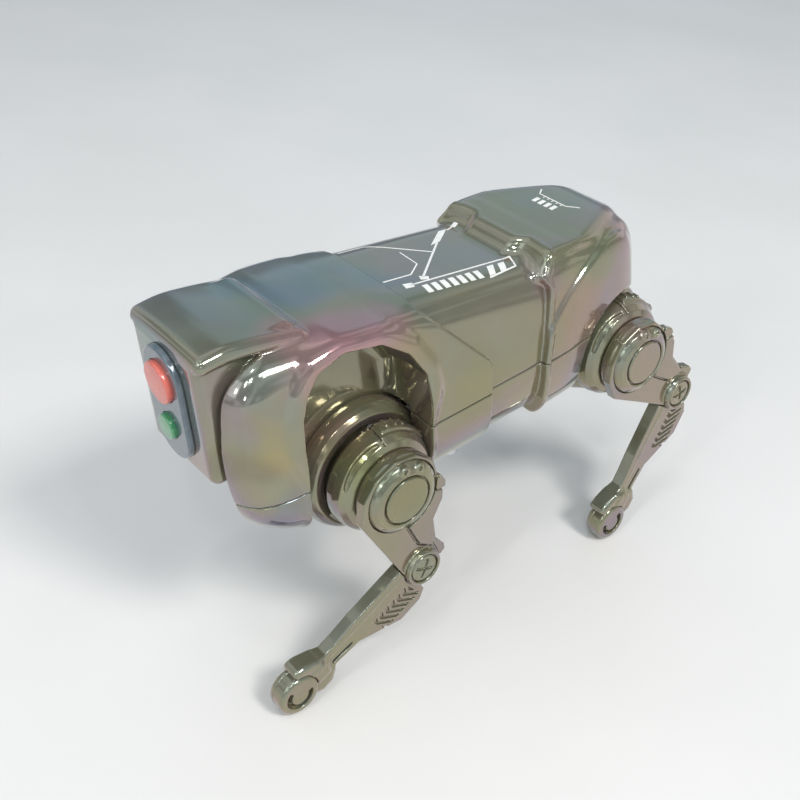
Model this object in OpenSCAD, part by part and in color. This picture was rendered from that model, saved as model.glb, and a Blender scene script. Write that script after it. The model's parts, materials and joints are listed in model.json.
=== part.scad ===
// Clockwork walking dog: a wind-up quadruped toy of plated plastic.
// Frame of the assembly: +X to the nose, +Y to the dog's left, +Z up, the table at z = 0.
// The body stands nose-down in mid stride; its own level frame has its origin
// half way between the hip axles, on the height of the axles.

/* [Stance] */
// Angle from the vertical of the front legs, left forward and right back, and of the right rear leg, forward
stride_front = 33.2; // [24:0.2:34]
// Angle of the left rear leg from the vertical
stride_rear = 0.7; // [-4:0.1:6]
// Largest swing of every leg to each side of the vertical
swing = 33.2; // [33.2:0.1:34]

/* [Body] */
// Distance between the front and rear hip axles
wheelbase = 52; // [51:0.25:53]
// Wall thickness of the two body shells
wall = 1.5; // [1.2:0.1:1.8]
// Height of the split between the shells above the hip axles
seam = 7; // [6.6:0.1:7.4]
// Radius of the front socket rings
ring_front = 11.3; // [11:0.1:11.5]
// Radius of the rear socket rings
ring_rear = 10.4; // [10:0.1:10.6]

/* [Legs] */
// Distance from hip axle to the centre of the foot
leg_len = 35.25; // [34.5:0.25:36]
// Distance from hip axle to the knee
thigh_len = 16.7; // [16.4:0.1:17]
// Angle of the knee behind the line from hip to foot
knee_back = 49.3; // [48:0.1:50]
// Radius of the round foot
foot_r = 3.6; // [3.4:0.1:3.7]
// Radius of the hip drums
drum_r = 9; // [8.6:0.1:9.2]
// Radius of the steel leg axles
axle_r = 1.5; // [1.3:0.1:1.6]
// Radial running clearance of the axles
run = 0.08; // [0.05:0.01:0.1]

/* [Clockwork] */
// Height of the crank shaft above the hip axles
crank_z = 5; // [4.8:0.1:5.2]
// Length of the rocker arms inside the hips
rocker = 6; // [5.8:0.1:6]
// Gear module of the train
gear_m = 0.4; // [0.39:0.01:0.4]
// Radius of the winding knob
knob_r = 5.2; // [4.6:0.1:5.6]

/* [Hidden] */
$fn = 48;
ink = [0.45, 0.46, 0.38];
olive = [0.50, 0.50, 0.42];
steel = [0.72, 0.72, 0.74];
brassy = [0.78, 0.64, 0.34];
whiteish = [0.90, 0.89, 0.85];

// nose-down pitch that puts all four feet on the table
pitch = asin(leg_len * (cos(stride_rear) - cos(stride_front)) / wheelbase);
hf = leg_len * cos(stride_front) + foot_r;
hr = leg_len * cos(stride_rear) + foot_r;
h0 = (hf + hr) / 2;
// the shift that centres the whole over the origin
x0 = -6.335;
hx = wheelbase / 2;
crank_r = rocker * sin(swing);

// ---------- placing ----------
module stance() translate([x0, 0, h0]) rotate([0, pitch, 0]) children();
// level body frame -> a hip; s = +1 left, -1 right; e = +1 front, -1 rear
module at_hip(e) translate([e * hx, 0, 0]) children();
module side(s) if (s > 0) children(); else mirror([0, 1, 0]) children();
// angle of a leg from the vertical, forward positive
function leg_a(s, e) = e > 0 ? s * stride_front : s > 0 ? stride_rear : stride_front;
module leg_frame(s, e) stance() at_hip(e) side(s) rotate([0, -(leg_a(s, e) + pitch), 0]) children();
// a solid of revolution along +Y from a profile of [radius, y]
module lathe(p) rotate([-90, 0, 0]) rotate_extrude($fn = 64) polygon(p);
module rod(r, y1, y2) translate([0, y1, 0]) rotate([-90, 0, 0]) cylinder(r = r, h = y2 - y1);
// a plate in the XZ plane from y1 to y2; points are [x, z]
module plate(y1, y2) translate([0, y2, 0]) rotate([90, 0, 0]) linear_extrude(y2 - y1) children();

// ---------- lofts ----------
function cut(p) = [for (i = [0:len(p) - 1]) let (a = p[i], b = p[(i + 1) % len(p)]) each [a * 0.78 + b * 0.22, a * 0.22 + b * 0.78]];
function half(s) = [[s[1], s[2]], [s[3], s[4]], [s[5], s[6]], [s[5], s[7]], [s[8], s[9]], [s[10], s[11]]];
function ring(s) = let (h = half(s)) concat(h, [for (i = [len(h) - 1:-1:0]) [-h[i][0], h[i][1]]]);
function grow(s, d) = [s[0], s[1] + d * 0.5, s[2] + d, s[3] + d, s[4] + d * 0.6, s[5] + d, s[6] + d * 0.3, s[7] - d * 0.3, s[8] + d * 0.7, s[9] - d * 0.7, s[10] + d * 0.5, s[11] - d];
module loft(st, d = 0, fine = 2) {
  rings = [for (s = st) let (r = ring(grow(s, d))) fine > 1 ? cut(cut(r)) : cut(r)];
  n = len(rings[0]);
  m = len(rings);
  pts = [for (k = [0:m - 1]) for (p = rings[k]) [st[k][0], p[0], p[1]]];
  sides = [for (k = [0:m - 2]) for (i = [0:n - 1]) let (j = (i + 1) % n) each [[k * n + i, k * n + j, (k + 1) * n + j], [k * n + i, (k + 1) * n + j, (k + 1) * n + i]]];
  polyhedron(points = pts, faces = concat(sides, [[for (i = [n - 1:-1:0]) i]], [[for (i = [0:n - 1]) (m - 1) * n + i]]), convexity = 6);
}
// station: x, top half-width, top z, shoulder y, z, side half-width, its upper z, lower z, chine y, z, bottom half-width, bottom z
st_rear = [
  [-35.2, 3.5, 15.0, 5.5, 13.5, 6.5, 11.0, 4.0, 5.5, 2.0, 3.5, 0.5],
  [-34.2, 5.5, 18.0, 8.0, 16.0, 8.8, 12.0, 2.0, 7.5, -0.5, 5.0, -2.0],
  [-31.5, 7.5, 20.8, 9.8, 18.6, 10.4, 13.5, 0.5, 9.0, -2.0, 6.5, -3.8],
  [-27.0, 9.0, 22.2, 11.2, 20.0, 12.0, 14.5, 0.0, 10.5, -3.2, 8.0, -4.8],
  [-20.0, 10.0, 23.2, 12.4, 21.0, 13.3, 15.0, 0.0, 11.8, -3.4, 9.0, -5.0],
  [-12.0, 10.8, 24.2, 13.2, 22.0, 14.4, 15.5, 0.5, 12.8, -3.0, 10.0, -5.0],
  [-6.0, 11.0, 24.8, 13.4, 22.5, 14.9, 15.5, 1.0, 13.2, -2.6, 10.5, -5.0]];
st_mid = [
  [-9.0, 10.0, 22.4, 12.4, 20.2, 14.3, 13.0, 1.5, 12.6, -2.4, 10.0, -4.6],
  [18.0, 10.0, 26.5, 12.6, 24.3, 14.3, 14.2, 1.5, 12.6, -2.4, 10.0, -4.6]];
st_front = [
  [5.2, 10.0, 24.8, 12.8, 22.6, 15.1, 13.6, 1.5, 13.2, -2.6, 10.2, -5.0],
  [13.0, 10.0, 26.0, 13.0, 24.2, 15.1, 14.2, 1.5, 13.2, -2.6, 10.2, -5.0],
  [20.0, 9.8, 27.2, 13.0, 25.8, 15.0, 15.0, 1.0, 13.2, -2.8, 10.2, -5.0],
  [28.0, 9.6, 28.2, 13.0, 26.6, 14.9, 15.8, 1.0, 13.0, -2.6, 10.0, -4.8],
  [35.0, 9.6, 28.9, 12.9, 26.6, 14.8, 16.5, 1.2, 12.8, -2.2, 9.6, -4.4],
  [41.0, 9.4, 28.9, 12.6, 25.6, 14.6, 17.0, 2.0, 12.4, -1.2, 9.0, -3.6],
  [44.8, 9.2, 28.0, 12.2, 24.4, 14.0, 16.4, 3.0, 11.6, 0.2, 8.0, -2.4],
  [47.4, 8.8, 26.6, 11.2, 22.6, 12.8, 15.4, 5.0, 10.2, 2.4, 6.5, 0.2],
  [49.2, 7.6, 24.2, 9.4, 20.4, 10.8, 14.4, 7.5, 8.4, 5.4, 5.0, 3.8]];
module mid_front_cut() plate(-20, 20) polygon([[16.8, 40], [16.8, 25.4], [5.6, 13.6], [5.2, 12], [5.2, -1.5], [7.5, -10], [60, -10], [60, 40]]);
module mid_rear_cut() plate(-20, 20) polygon([[-7.6, 40], [-7.6, 19], [-6.1, 9], [-6.1, 0], [-8, -10], [-60, -10], [-60, 40]]);
module head_block(d = 0) {
  // the face box and the raised roof plate over it
  hull() for (s = [-1, 1]) {
    for (z = [11.6, 27.4]) translate([49.2, s * 6.7, z]) sphere(r = 1.9 + d, $fn = 24);
    for (z = [8, 27.4]) translate([36, s * 6.5, z]) sphere(r = 1.7 + d, $fn = 16);
  }
  hull() for (s = [-1, 1]) {
    translate([48.8, s * 7.85, 29.8]) sphere(r = 1.7 + d, $fn = 24);
    translate([45.6, s * 3.5, 30.5]) sphere(r = 1.7 + d, $fn = 24);
    translate([35.4, s * 8.1, 28.5]) sphere(r = 1.7 + d, $fn = 24);
    translate([49.0, s * 7.4, 26.4]) sphere(r = 1.6 + d, $fn = 16);
  }
}
module hull_shape(d = 0, fine = 2) {
  intersection() { loft(st_front, d, fine); mid_front_cut(); }
  loft(st_mid, d, fine);
  intersection() { loft(st_rear, d, fine); mid_rear_cut(); }
  translate([-8.5, -4.2, 20]) cube([1.7, 8.4, 4.4 + d]);
  head_block(d);
}
// front wheel arch outline about the hip axle, [x, z]
function arch_pts(g) = [[13.6 + g, -30], [13.6 + g, 14], [13 + g, 19.6], [11 + g * .8, 23.3 + g * .6], [7.5 + g * .4, 25.2 + g], [3, 25.6 + g], [-2, 24.1 + g], [-6 - g * .6, 20.9 + g * .8], [-9 - g, 16.0 + g * .4], [-9 - g, 0], [-11.6 - g, -9], [-11.6 - g, -30]];
module arch_front(y1, g = 0) for (s = [-1, 1]) side(s) at_hip(1) {
  plate(y1, 24) polygon(arch_pts(g));
  rod(ring_front + 0.25 + g, y1, 9.6 + g);
}
module arch_rear(y1, g = 0) for (s = [-1, 1]) side(s) at_hip(-1) {
  rod(ring_rear + 0.25 + g, y1, 24);
  plate(y1, 24) polygon([[-ring_rear - 0.25 - g, 0], [ring_rear + 0.25 + g, 0], [ring_rear + 0.25 + g, -30], [-ring_rear - 0.25 - g, -30]]);
}
// slots that let the connecting links into the hips
module windows(y1, y2) for (s = [-1, 1]) side(s) {
  translate([hx - 13.6, y1, 2.9]) cube([8, y2 - y1, 6.4]);
  translate([-hx + 3.2, y1, 1]) cube([10.6, y2 - y1, 8.8]);
}
module shell_solid() difference() {
  hull_shape();
  difference() {
    union() {
      intersection() { loft(st_front, -wall, 1); translate([5.2 + wall, -20, -10]) cube([40.8 - wall, 40, 36.2]); }
      loft(st_mid, -wall, 1);
      intersection() { loft(st_rear, -wall, 1); translate([-33.4, -20, -10]) cube([24.5, 40, 40]); }
      translate([36, -5.4, 9.6]) cube([12.2, 10.8, 17.4]);
    }
    arch_front(6.2 - wall, wall);
    arch_rear(6.2 - wall, wall);
  }
  arch_front(6.2);
  arch_rear(6.2);
  windows(6.7, 8.8);
  // bearing holes of the leg axles
  for (e = [-1, 1]) at_hip(e) rod(axle_r + run, -10, 10);
  // winding shaft hole on the right side
  translate([gw_x, 0, gw_z]) rod(2.1, -30, -4);
  // seat of the face plate's peg
  translate([47.6, 0, 20.7]) rotate([0, 90, 0]) cylinder(r = 1.2, h = 6);
}
// x, y, the height at which the post meets the roof, and its foot in the floor
screw_at = [[38.2, 0.05, 27.6, -2.9], [10.6, 10.3, 23.0, -2.6], [10.6, -10.3, 23.0, -2.6], [-11.9, 10.3, 22.9, -2.6], [-11.9, -10.3, 22.9, -2.6], [-29.5, 0.05, 21.2, -3.15]];
module post(p, z1, z2) translate([p[0], p[1], z1]) cylinder(r = 1.5, h = z2 - z1);
module screw_holes(z2) for (p = screw_at) { translate([p[0], p[1], -12]) cylinder(r = 0.8, h = 12 + z2); translate([p[0], p[1], -12]) cylinder(r = 1.65, h = 12 - 3.2); }
module upper_shell() color(olive) stance() difference() {
  union() {
    intersection() { shell_solid(); translate([-60, -30, seam + 0.02]) cube([130, 60, 40]); }
    // screw posts
    for (p = screw_at) post(p, seam + 0.02, p[2]);
    // ribs that hold the clockwork from above
    for (s = [-1, 1]) plate(s * 5.1 - 0.5, s * 5.1 + 0.5) polygon([[-11, 18.82], [10, 18.82], [10, 24.7], [-7.4, 21.9], [-11, 21.9]]);
  }
  screw_holes(12);
}
module lower_shell() color(olive) stance() difference() {
  union() {
    intersection() { shell_solid(); translate([-60, -30, -20]) cube([130, 60, 20 + seam - 0.02]); }
    for (p = screw_at) post(p, p[3], seam - 0.02);
    // ribs under the clockwork
    for (s = [-1, 1]) translate([-9, s * 5.1 - 0.5, -3.6]) cube([16, 1, 1.38]);
  }
  screw_holes(9);
}
module pill(h, dx) hull() for (z = [16.3, 25]) translate([dx, 0, z]) rotate([0, 90, 0]) cylinder(r = 4.8, h = h, $fn = 48);
module face_plate() color([0.36, 0.40, 0.42]) stance() difference() {
  union() { pill(0.95, 51.12); translate([48.4, 0, 20.7]) rotate([0, 90, 0]) cylinder(r = 1.1, h = 3); }
  translate([51.45, 0, 24.5]) rotate([0, 90, 0]) cylinder(r = 3.25, h = 3);
  translate([51.45, 0, 16.9]) rotate([0, 90, 0]) cylinder(r = 2.05, h = 3);
}
module lens(r, z, h) stance() translate([51.47, 0, z]) rotate([0, 90, 0]) rotate_extrude($fn = 64) polygon([[0, 0], [r, 0], [r, h - 0.4], [r - 0.12, h - 0.15], [r - 0.4, h], [0, h + 0.05]]);
module red_lens() color([0.86, 0.42, 0.38]) lens(3.2, 24.5, 1.5);
module green_lens() color([0.25, 0.58, 0.38]) lens(2.0, 16.9, 1.4);

// ---------- hips ----------
module hip_ring(r) lathe([[axle_r + run, 6.25], [r - 0.6, 6.25], [r, 6.8], [r, 8.3], [r - 0.5, 9.1], [r - 1.2, 9.48], [7.9, 9.48], [7.9, 9.0], [r - 2.0, 9.0], [r - 2.0, 7.0], [axle_r + run, 7.0]]);
module hip_rings() color(ink) stance() difference() {
  for (s = [-1, 1]) side(s) {
    at_hip(1) hip_ring(ring_front);
    at_hip(-1) hip_ring(ring_rear);
  }
  windows(6.9, 8.9);
}
module hip_drum(s, e) color(olive) stance() side(s) at_hip(e) difference() {
  union() {
    lathe([[axle_r + run, 9.5], [drum_r - 0.6, 9.5], [drum_r - 0.15, 9.85], [drum_r, 10.6], [drum_r - 0.1, 12.6], [drum_r - 0.6, 14.0], [drum_r - 1.3, 14.8], [drum_r - 2.2, 15.1], [axle_r + run, 15.1]]);
    // raised motor rib, tab and end stop on the top of the drum
    rotate([0, -24, 0]) translate([-2.6, 11.0, drum_r - 0.8]) cube([5.2, 2.4, 1.1]);
    rotate([0, -58, 0]) translate([-1.2, 10.4, drum_r - 0.6]) cube([2.4, 3.0, 1.2]);
  }
  // grooves over the drum
  rotate([0, -6, 0]) translate([-0.2, 9.4, drum_r - 0.6]) cube([0.4, 4.6, 2]);
  rotate([0, 20, 0]) translate([-0.2, 12.4, drum_r - 1.3]) cube([6, 0.4, 2]);
}
module hip_drum_fl() hip_drum(1, 1);
module hip_drum_fr() hip_drum(-1, 1);
module hip_drum_rl() hip_drum(1, -1);
module hip_drum_rr() hip_drum(-1, -1);
module screw(h) { cylinder(r = 0.7, h = h); translate([0, 0, -1.02]) cylinder(r = 1.55, h = 0.9); translate([0, 0, -0.2]) cylinder(r = 0.7, h = 1); }
module shell_screws() color(steel) stance() for (p = screw_at) translate([p[0], p[1], -3.1]) difference() { screw(14); translate([-0.2, -1.1, -1.2]) cube([0.4, 2.2, 0.6]); translate([-1.1, -0.2, -1.2]) cube([2.2, 0.4, 0.6]); }

// ---------- clockwork ----------
// great wheel on the winding arbor, crank shaft, escape wheel, anchor: shaft centres
gw_x = -8.55;
gw_z = 8.4;
cr_x = 0;
cr_z = crank_z;
ew_x = 5.4;
ew_z = 10.35;
an_x = 5.4;
an_z = 14.9;
// teeth; each pair of wheels stands half the sum of its teeth times the module apart
z_great = 36;
z_crank = 10;
z_train = 30;
z_esc = 8;
// directions along which the wheels mesh
mesh_a = atan2(cr_z - gw_z, cr_x - gw_x);
mesh_b = atan2(ew_z - cr_z, ew_x - cr_x);
// a spur gear with straight-flanked teeth, turned so that a gap faces angle a
module gear(z, y1, y2, a = 0, bore = 0) plate(y1, y2) difference() {
  r = gear_m * z / 2;
  union() {
    circle(r = r - 1.2 * gear_m, $fn = 64);
    for (i = [0:z - 1]) rotate(a + (i + 0.5) * 360 / z) polygon([[r - 1.4 * gear_m, -0.42 * gear_m * PI / 2 * 1.15], [r - 0.1 * gear_m, -0.38 * gear_m * PI / 2], [r + 0.8 * gear_m, -0.18 * gear_m * PI / 2], [r + 0.8 * gear_m, 0.18 * gear_m * PI / 2], [r - 0.1 * gear_m, 0.38 * gear_m * PI / 2], [r - 1.4 * gear_m, 0.42 * gear_m * PI / 2 * 1.15]]);
  }
  if (bore > 0) circle(r = bore, $fn = 48);
}
module frame_outline() offset(r = 1.2, $fn = 24) polygon([[-12, -1], [9.5, -1], [11.2, 4], [11.2, 17.6], [-12, 17.6]]);
pillar_at = [[-11.2, -0.2], [8.6, -0.2], [10.4, 16.8], [-11.2, 16.8]];
module frame_plate(y1) color(whiteish) stance() difference() {
  translate([0, y1, 0]) plate(0, 1) frame_outline();
  for (p = [[gw_x, gw_z, 1.3], [cr_x, cr_z, 1.3], [ew_x, ew_z, 0.7], [an_x, an_z, 0.6]]) translate([p[0], y1 - 1, p[1]]) rod(p[2] + run, 0, 3);
  for (p = pillar_at) translate([p[0], y1 - 1, p[1]]) rod(0.65, 0, 3);
}
module frame_plate_left() frame_plate(4.6);
module frame_plate_right() frame_plate(-5.6);
module frame_pillars() color(steel) stance() for (p = pillar_at) translate([p[0], 0, p[1]]) { rod(1.1, -4.58, 4.58); rod(0.6, -5.8, 5.8); }
// the spring is one ribbon wound in an open spiral between the arbor and a pillar
module mainspring() color(steel) stance() translate([gw_x, 0, gw_z]) plate(-3.6, 0.6) polygon(concat(
  [for (a = [0:12:1620]) let (r = 1.75 + a / 1620 * 3.5) [r * cos(a), r * sin(a)]],
  [for (a = [1620:-12:0]) let (r = 1.75 + a / 1620 * 3.5 - 0.2) [r * cos(a), r * sin(a)]]));
module winding_arbor() color(steel) stance() translate([gw_x, 0, gw_z]) { rod(1.3, -17.4, 5.8); rod(1.55, -4.4, -3.7); }
module winding_knob() color(ink) stance() translate([gw_x, 0, gw_z]) difference() {
  union() {
    lathe([[1.32, -18.6], [knob_r - 0.6, -18.6], [knob_r, -18.1], [knob_r, -15.7], [knob_r - 0.5, -15.3], [2.0, -15.3], [2.0, -12.9], [1.32, -12.9]]);
    rod(1.4, -18.6, -17.45);
  }
  for (i = [0:17]) rotate([0, i * 20, 0]) translate([knob_r + 0.25, -19.5, 0]) rod(0.5, 0, 5);
}
module ratchet_wheel() color(brassy) stance() translate([gw_x, 0, gw_z]) plate(0.75, 1.55) difference() {
  polygon([for (i = [0:11]) each [[4.6 * cos(i * 30), 4.6 * sin(i * 30)], [3.5 * cos(i * 30 + 3), 3.5 * sin(i * 30 + 3)]]]);
  circle(r = 1.31, $fn = 48);
}
module great_wheel() color(whiteish) stance() translate([gw_x, 0, gw_z]) difference() {
  gear(z_great, 1.75, 2.75, mesh_a, 1.3 + run);
  translate([5.2, 0, 3.0]) rod(0.5, 1, 3);
}
// the pawl pivots on a pin of the great wheel and drops into the ratchet
module click_pawl() color(brassy) stance() translate([gw_x, 0, gw_z]) difference() {
  union() {
    plate(0.8, 1.5) polygon([[5.2 - 0.9, 3.0 + 0.7], [5.2 + 0.9, 3.0 + 0.5], [5.95, 1.6], [4.95, 0.4], [4.72, 0.55], [4.75, 1.8], [4.2, 2.6]]);
    translate([5.2, 0, 3.0]) rod(0.45, 1.5, 2.85);
  }
}
// crank shaft with its pinion, and the train wheel pressed on beside it
module crank_shaft() color(steel) stance() translate([cr_x, 0, cr_z]) {
  rod(1.3, -7.0, 7.0);
  gear(z_crank, 1.5, 2.95, mesh_a + 180 + 180 / z_crank);
}
module train_wheel() color(whiteish) stance() translate([cr_x, 0, cr_z]) gear(z_train, 3.1, 3.9, mesh_b, 1.3);
module crank_disc(s, a1, a2) color(whiteish) stance() translate([cr_x, 0, cr_z]) side(s) {
  difference() { rod(4.9, 5.85, 6.85); rod(1.3, 5, 6.86); }
  for (a = [a1, a2]) rotate([0, a, 0]) translate([crank_r, 0, 0]) rod(0.8, 6.8, 7.1);
  difference() { rod(2.0, 6.8, 7.05); rod(1.3, 5, 8); }
}
// right front and rear crank pins stand half a turn apart, the left rear pin a quarter turn off
module crank_disc_left() crank_disc(1, 180, -90);
module crank_disc_right() crank_disc(-1, 0, 180);
module escape_wheel() color(whiteish) stance() translate([ew_x, 0, ew_z]) {
  plate(-0.4, 0.4) polygon([for (i = [0:12]) each [[2.7 * cos(i * 360 / 13), 2.7 * sin(i * 360 / 13)], [2.0 * cos(i * 360 / 13 + 4), 2.0 * sin(i * 360 / 13 + 4)], [2.0 * cos(i * 360 / 13 + 22), 2.0 * sin(i * 360 / 13 + 22)]]]);
  gear(z_esc, 2.95, 4.05, mesh_b + 180 + 180 / z_esc);
  rod(0.7, -5.8, 5.8);
}
module escape_anchor() color(steel) stance() translate([an_x, 0, an_z]) {
  plate(-0.4, 0.4) polygon([[-0.9, 0.9], [0.9, 0.9], [3.3, -1.2], [3.1, -2.7], [2.45, -2.5], [2.3, -1.5], [0.9, -0.7], [-0.9, -0.7], [-2.3, -1.5], [-2.45, -2.5], [-3.1, -2.7], [-3.3, -1.2]]);
  rod(0.6, -5.8, 5.8);
}
// connecting links: eye on the rocker pin, free eye by the crank pin;
// the front links run in a plane inside that of the rear ones
module link(s, e, cx, cz) color(whiteish) stance() side(s) {
  rx = e * hx - rocker * sin(leg_a(s, e));
  rz = rocker * cos(leg_a(s, e));
  y1 = e > 0 ? 7.2 : 7.84;
  y2 = y1 + 0.52;
  difference() {
    union() {
      translate([rx, 0, rz]) rod(1.6, y1, y2);
      translate([cx, 0, cz]) rod(1.6, y1, y2);
      plate(y1, y2) let (u = [cx - rx, cz - rz] / norm([cx - rx, cz - rz]), v = [-u[1], u[0]]) polygon([[rx, rz] + v * 1.0, [cx, cz] + v * 1.0, [cx, cz] - v * 1.0, [rx, rz] - v * 1.0]);
    }
    translate([rx, 0, rz]) rod(0.8 + run, 7, 9);
    translate([cx, 0, cz]) rod(0.8 + run, 7, 9);
  }
}
module link_fl() link(1, 1, -crank_r, crank_z);
module link_fr() link(-1, 1, crank_r, crank_z);
module link_rl() link(1, -1, 0, crank_z + crank_r);
module link_rr() link(-1, -1, -crank_r, crank_z);

// ---------- legs ----------
// steel axle with its moulded rocker arm; turns in the shell wall and in the drum
module axle(s, e) color(steel) stance() at_hip(e) side(s) rotate([0, -leg_a(s, e), 0]) {
  rod(axle_r, 4.4, 18.0);
  difference() { union() {
    rod(2.6, 8.45, 9.35);
    translate([0, 0, rocker]) rod(1.5, 8.45, 9.35);
    translate([-1.5, 8.45, 0]) cube([3, 0.9, rocker]);
  } }
  translate([0, 0, rocker]) rod(0.8, 7.2, 8.5);
}
module axle_fl() axle(1, 1);
module axle_fr() axle(-1, 1);
module axle_rl() axle(1, -1);
module axle_rr() axle(-1, -1);
kx = -thigh_len * sin(knee_back);
kz = -thigh_len * cos(knee_back);
// thigh: round head on the axle, flat plate to the knee with a raised panel along its back edge
module thigh_outline() polygon([[-2.4, 6.7], [1.6, 6.8], [5.2, 4.8], [7.0, 1.0], [6.9, -2.6], [4.9, -6.3], [-4.2, -10.4], [-9.9, -13.1], [kx + 0.5, kz - 3.36], [kx - 2, kz - 2.8], [kx - 3.3, kz - 0.8], [kx - 3.1, kz + 1.7], [kx - 3.6, kz + 3.6], [kx - 2.8, kz + 4.4], [-12.9, -5.8], [-9.5, -2.2], [-8.9, 1.6], [-7.0, 4.1], [-5.4, 4.4]]);
module thigh(s, e) color(olive) leg_frame(s, e) difference() {
  union() {
    rod(6.9, 15.4, 16.25);
    plate(16.2, 18.0) thigh_outline();
    plate(17.95, 18.5) polygon([[-4.9, -4.7], [-9.4, -7.2], [-12.6, -6.9], [-12.5, -6.0], [-9.1, -2.5], [-8.5, 1.4], [-6.9, 3.6], [-5.4, 3.9]]);
    translate([kx, 0, kz]) lathe([[0, 16.2], [3.35, 16.2], [3.35, 18.8], [3.1, 19.1], [2.75, 19.1], [2.6, 18.9], [2.55, 18.3], [0, 18.3]]);
  }
  rod(axle_r, 14, 17.5);
  rod(6.35, 17.15, 20);
  translate([kx, 0, kz]) rod(0.95, 15, 20);
}
module thigh_fl() thigh(1, 1);
module thigh_fr() thigh(-1, 1);
module thigh_rl() thigh(1, -1);
module thigh_rr() thigh(-1, -1);
// cap pressed on the axle end, two small bosses on its rim
module hip_cap(s, e) color(ink) stance() side(s) at_hip(e) {
  lathe([[axle_r, 17.2], [6.3, 17.2], [6.3, 17.5], [6.0, 18.3], [5.4, 18.9], [4.6, 19.15], [4.35, 19.0], [4.25, 18.7], [4.05, 18.7], [3.95, 19.1], [3.7, 19.3], [0, 19.3], [0, 18.0], [axle_r, 18.0]]);
  for (a = [0, -30]) rotate([0, a, 0]) translate([0, 0, 5.5]) rod(0.75, 17.5, 18.95);
}
module hip_cap_fl() hip_cap(1, 1);
module hip_cap_fr() hip_cap(-1, 1);
module hip_cap_rl() hip_cap(1, -1);
module hip_cap_rr() hip_cap(-1, -1);
// calf: slim bar with a ribbed plate behind it, ending in a cup over the foot
ca = atan2(0 - kx, kz + leg_len);
cl = norm([kx, kz + leg_len]);
module calf(s, e) color(olive) leg_frame(s, e) difference() {
  translate([kx, 0, kz]) rotate([0, -ca, 0]) difference() {
    union() {
      plate(15.4, 18.3) polygon([[2.9, -2.4], [2.6, -8], [2.2, -14], [1.7, -18], [1.6, -20.6], [2.5, -22.4], [3.9, -cl + 3.2], [4.15, -cl + 1.6], [-3.4, -cl + 1.9], [-4.4, -cl + 3.4], [-4.3, -22.2], [-2.6, -20.3], [-2.3, -19.5], [-2.6, -15.2], [-3.4, -13.9], [-6.9, -7.9], [-6.6, -3.4], [-5.2, -1.8]]);
      plate(15.4, 16.15) polygon([[2.9, -3], [2.9, 0], [-2.9, 0], [-5.2, -1.8], [-6, -3]]);
      rod(2.9, 15.4, 16.15);
    }
    rod(0.95, 14, 19);
    translate([0, 0, -cl]) rod(foot_r + 0.05, 14, 20);
    // ribbed pocket
    for (i = [0:5]) plate(17.9, 19) polygon([[-0.7 - i * 0.18, -5.0 - i * 1.1], [-2.6 - i * 0.18, -4.0 - i * 1.1], [-4.2 - i * 0.12, -3.6 - i * 1.1], [-4.2 - i * 0.12, -4.2 - i * 1.1], [-2.6 - i * 0.18, -4.7 - i * 1.1], [-0.7 - i * 0.18, -5.7 - i * 1.1]]);
  }
  for (d = [[0.12, 0], [-0.12, 0], [0, -0.12]]) translate([d[0], 0, d[1]]) plate(16.15, 19) thigh_outline();
  translate([kx, 0, kz]) rod(3.45, 16.15, 20);
}
module calf_fl() calf(1, 1);
module calf_fr() calf(-1, 1);
module calf_rl() calf(1, -1);
module calf_rr() calf(-1, -1);
module knee_screw(s, e) color(steel) leg_frame(s, e) translate([kx, 0, kz]) difference() {
  union() {
    rod(0.92, 15.5, 18.4);
    lathe([[0, 18.32], [2.3, 18.32], [2.3, 18.7], [2.0, 18.9], [0, 18.95]]);
  }
  for (a = [15, 105]) rotate([0, a, 0]) translate([-1.6, 18.65, -0.25]) cube([3.2, 1, 0.5]);
}
module knee_screw_fl() knee_screw(1, 1);
module knee_screw_fr() knee_screw(-1, 1);
module knee_screw_rl() knee_screw(1, -1);
module knee_screw_rr() knee_screw(-1, -1);
// round foot in the calf's cup, with a grooved boss on its outer face
module foot(s, e) color(ink) leg_frame(s, e) translate([0, 0, -leg_len]) lathe([[0, 15.5], [foot_r - 0.5, 15.5], [foot_r, 16.0], [foot_r, 18.6], [foot_r - 0.35, 19.1], [2.3, 19.1], [2.1, 18.3], [1.6, 18.3], [1.45, 18.95], [1.2, 19.1], [0, 19.1]]);
module foot_fl() foot(1, 1);
module foot_fr() foot(-1, 1);
module foot_rl() foot(1, -1);
module foot_rr() foot(-1, -1);

upper_shell();
lower_shell();
face_plate();
red_lens();
green_lens();
hip_rings();
hip_drum_fl();
hip_drum_fr();
hip_drum_rl();
hip_drum_rr();
shell_screws();
frame_plate_left();
frame_plate_right();
frame_pillars();
mainspring();
winding_knob();
winding_arbor();
ratchet_wheel();
click_pawl();
great_wheel();
crank_shaft();
crank_disc_left();
crank_disc_right();
train_wheel();
escape_wheel();
escape_anchor();
link_fl();
link_fr();
link_rl();
link_rr();
axle_fl();
axle_fr();
axle_rl();
axle_rr();
thigh_fl();
thigh_fr();
thigh_rl();
thigh_rr();
hip_cap_fl();
hip_cap_fr();
hip_cap_rl();
hip_cap_rr();
calf_fl();
calf_fr();
calf_rl();
calf_rr();
knee_screw_fl();
knee_screw_fr();
knee_screw_rl();
knee_screw_rr();
foot_fl();
foot_fr();
foot_rl();
foot_rr();
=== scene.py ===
import json
import math

import bpy
import numpy as np
from mathutils import Matrix, Vector


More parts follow.
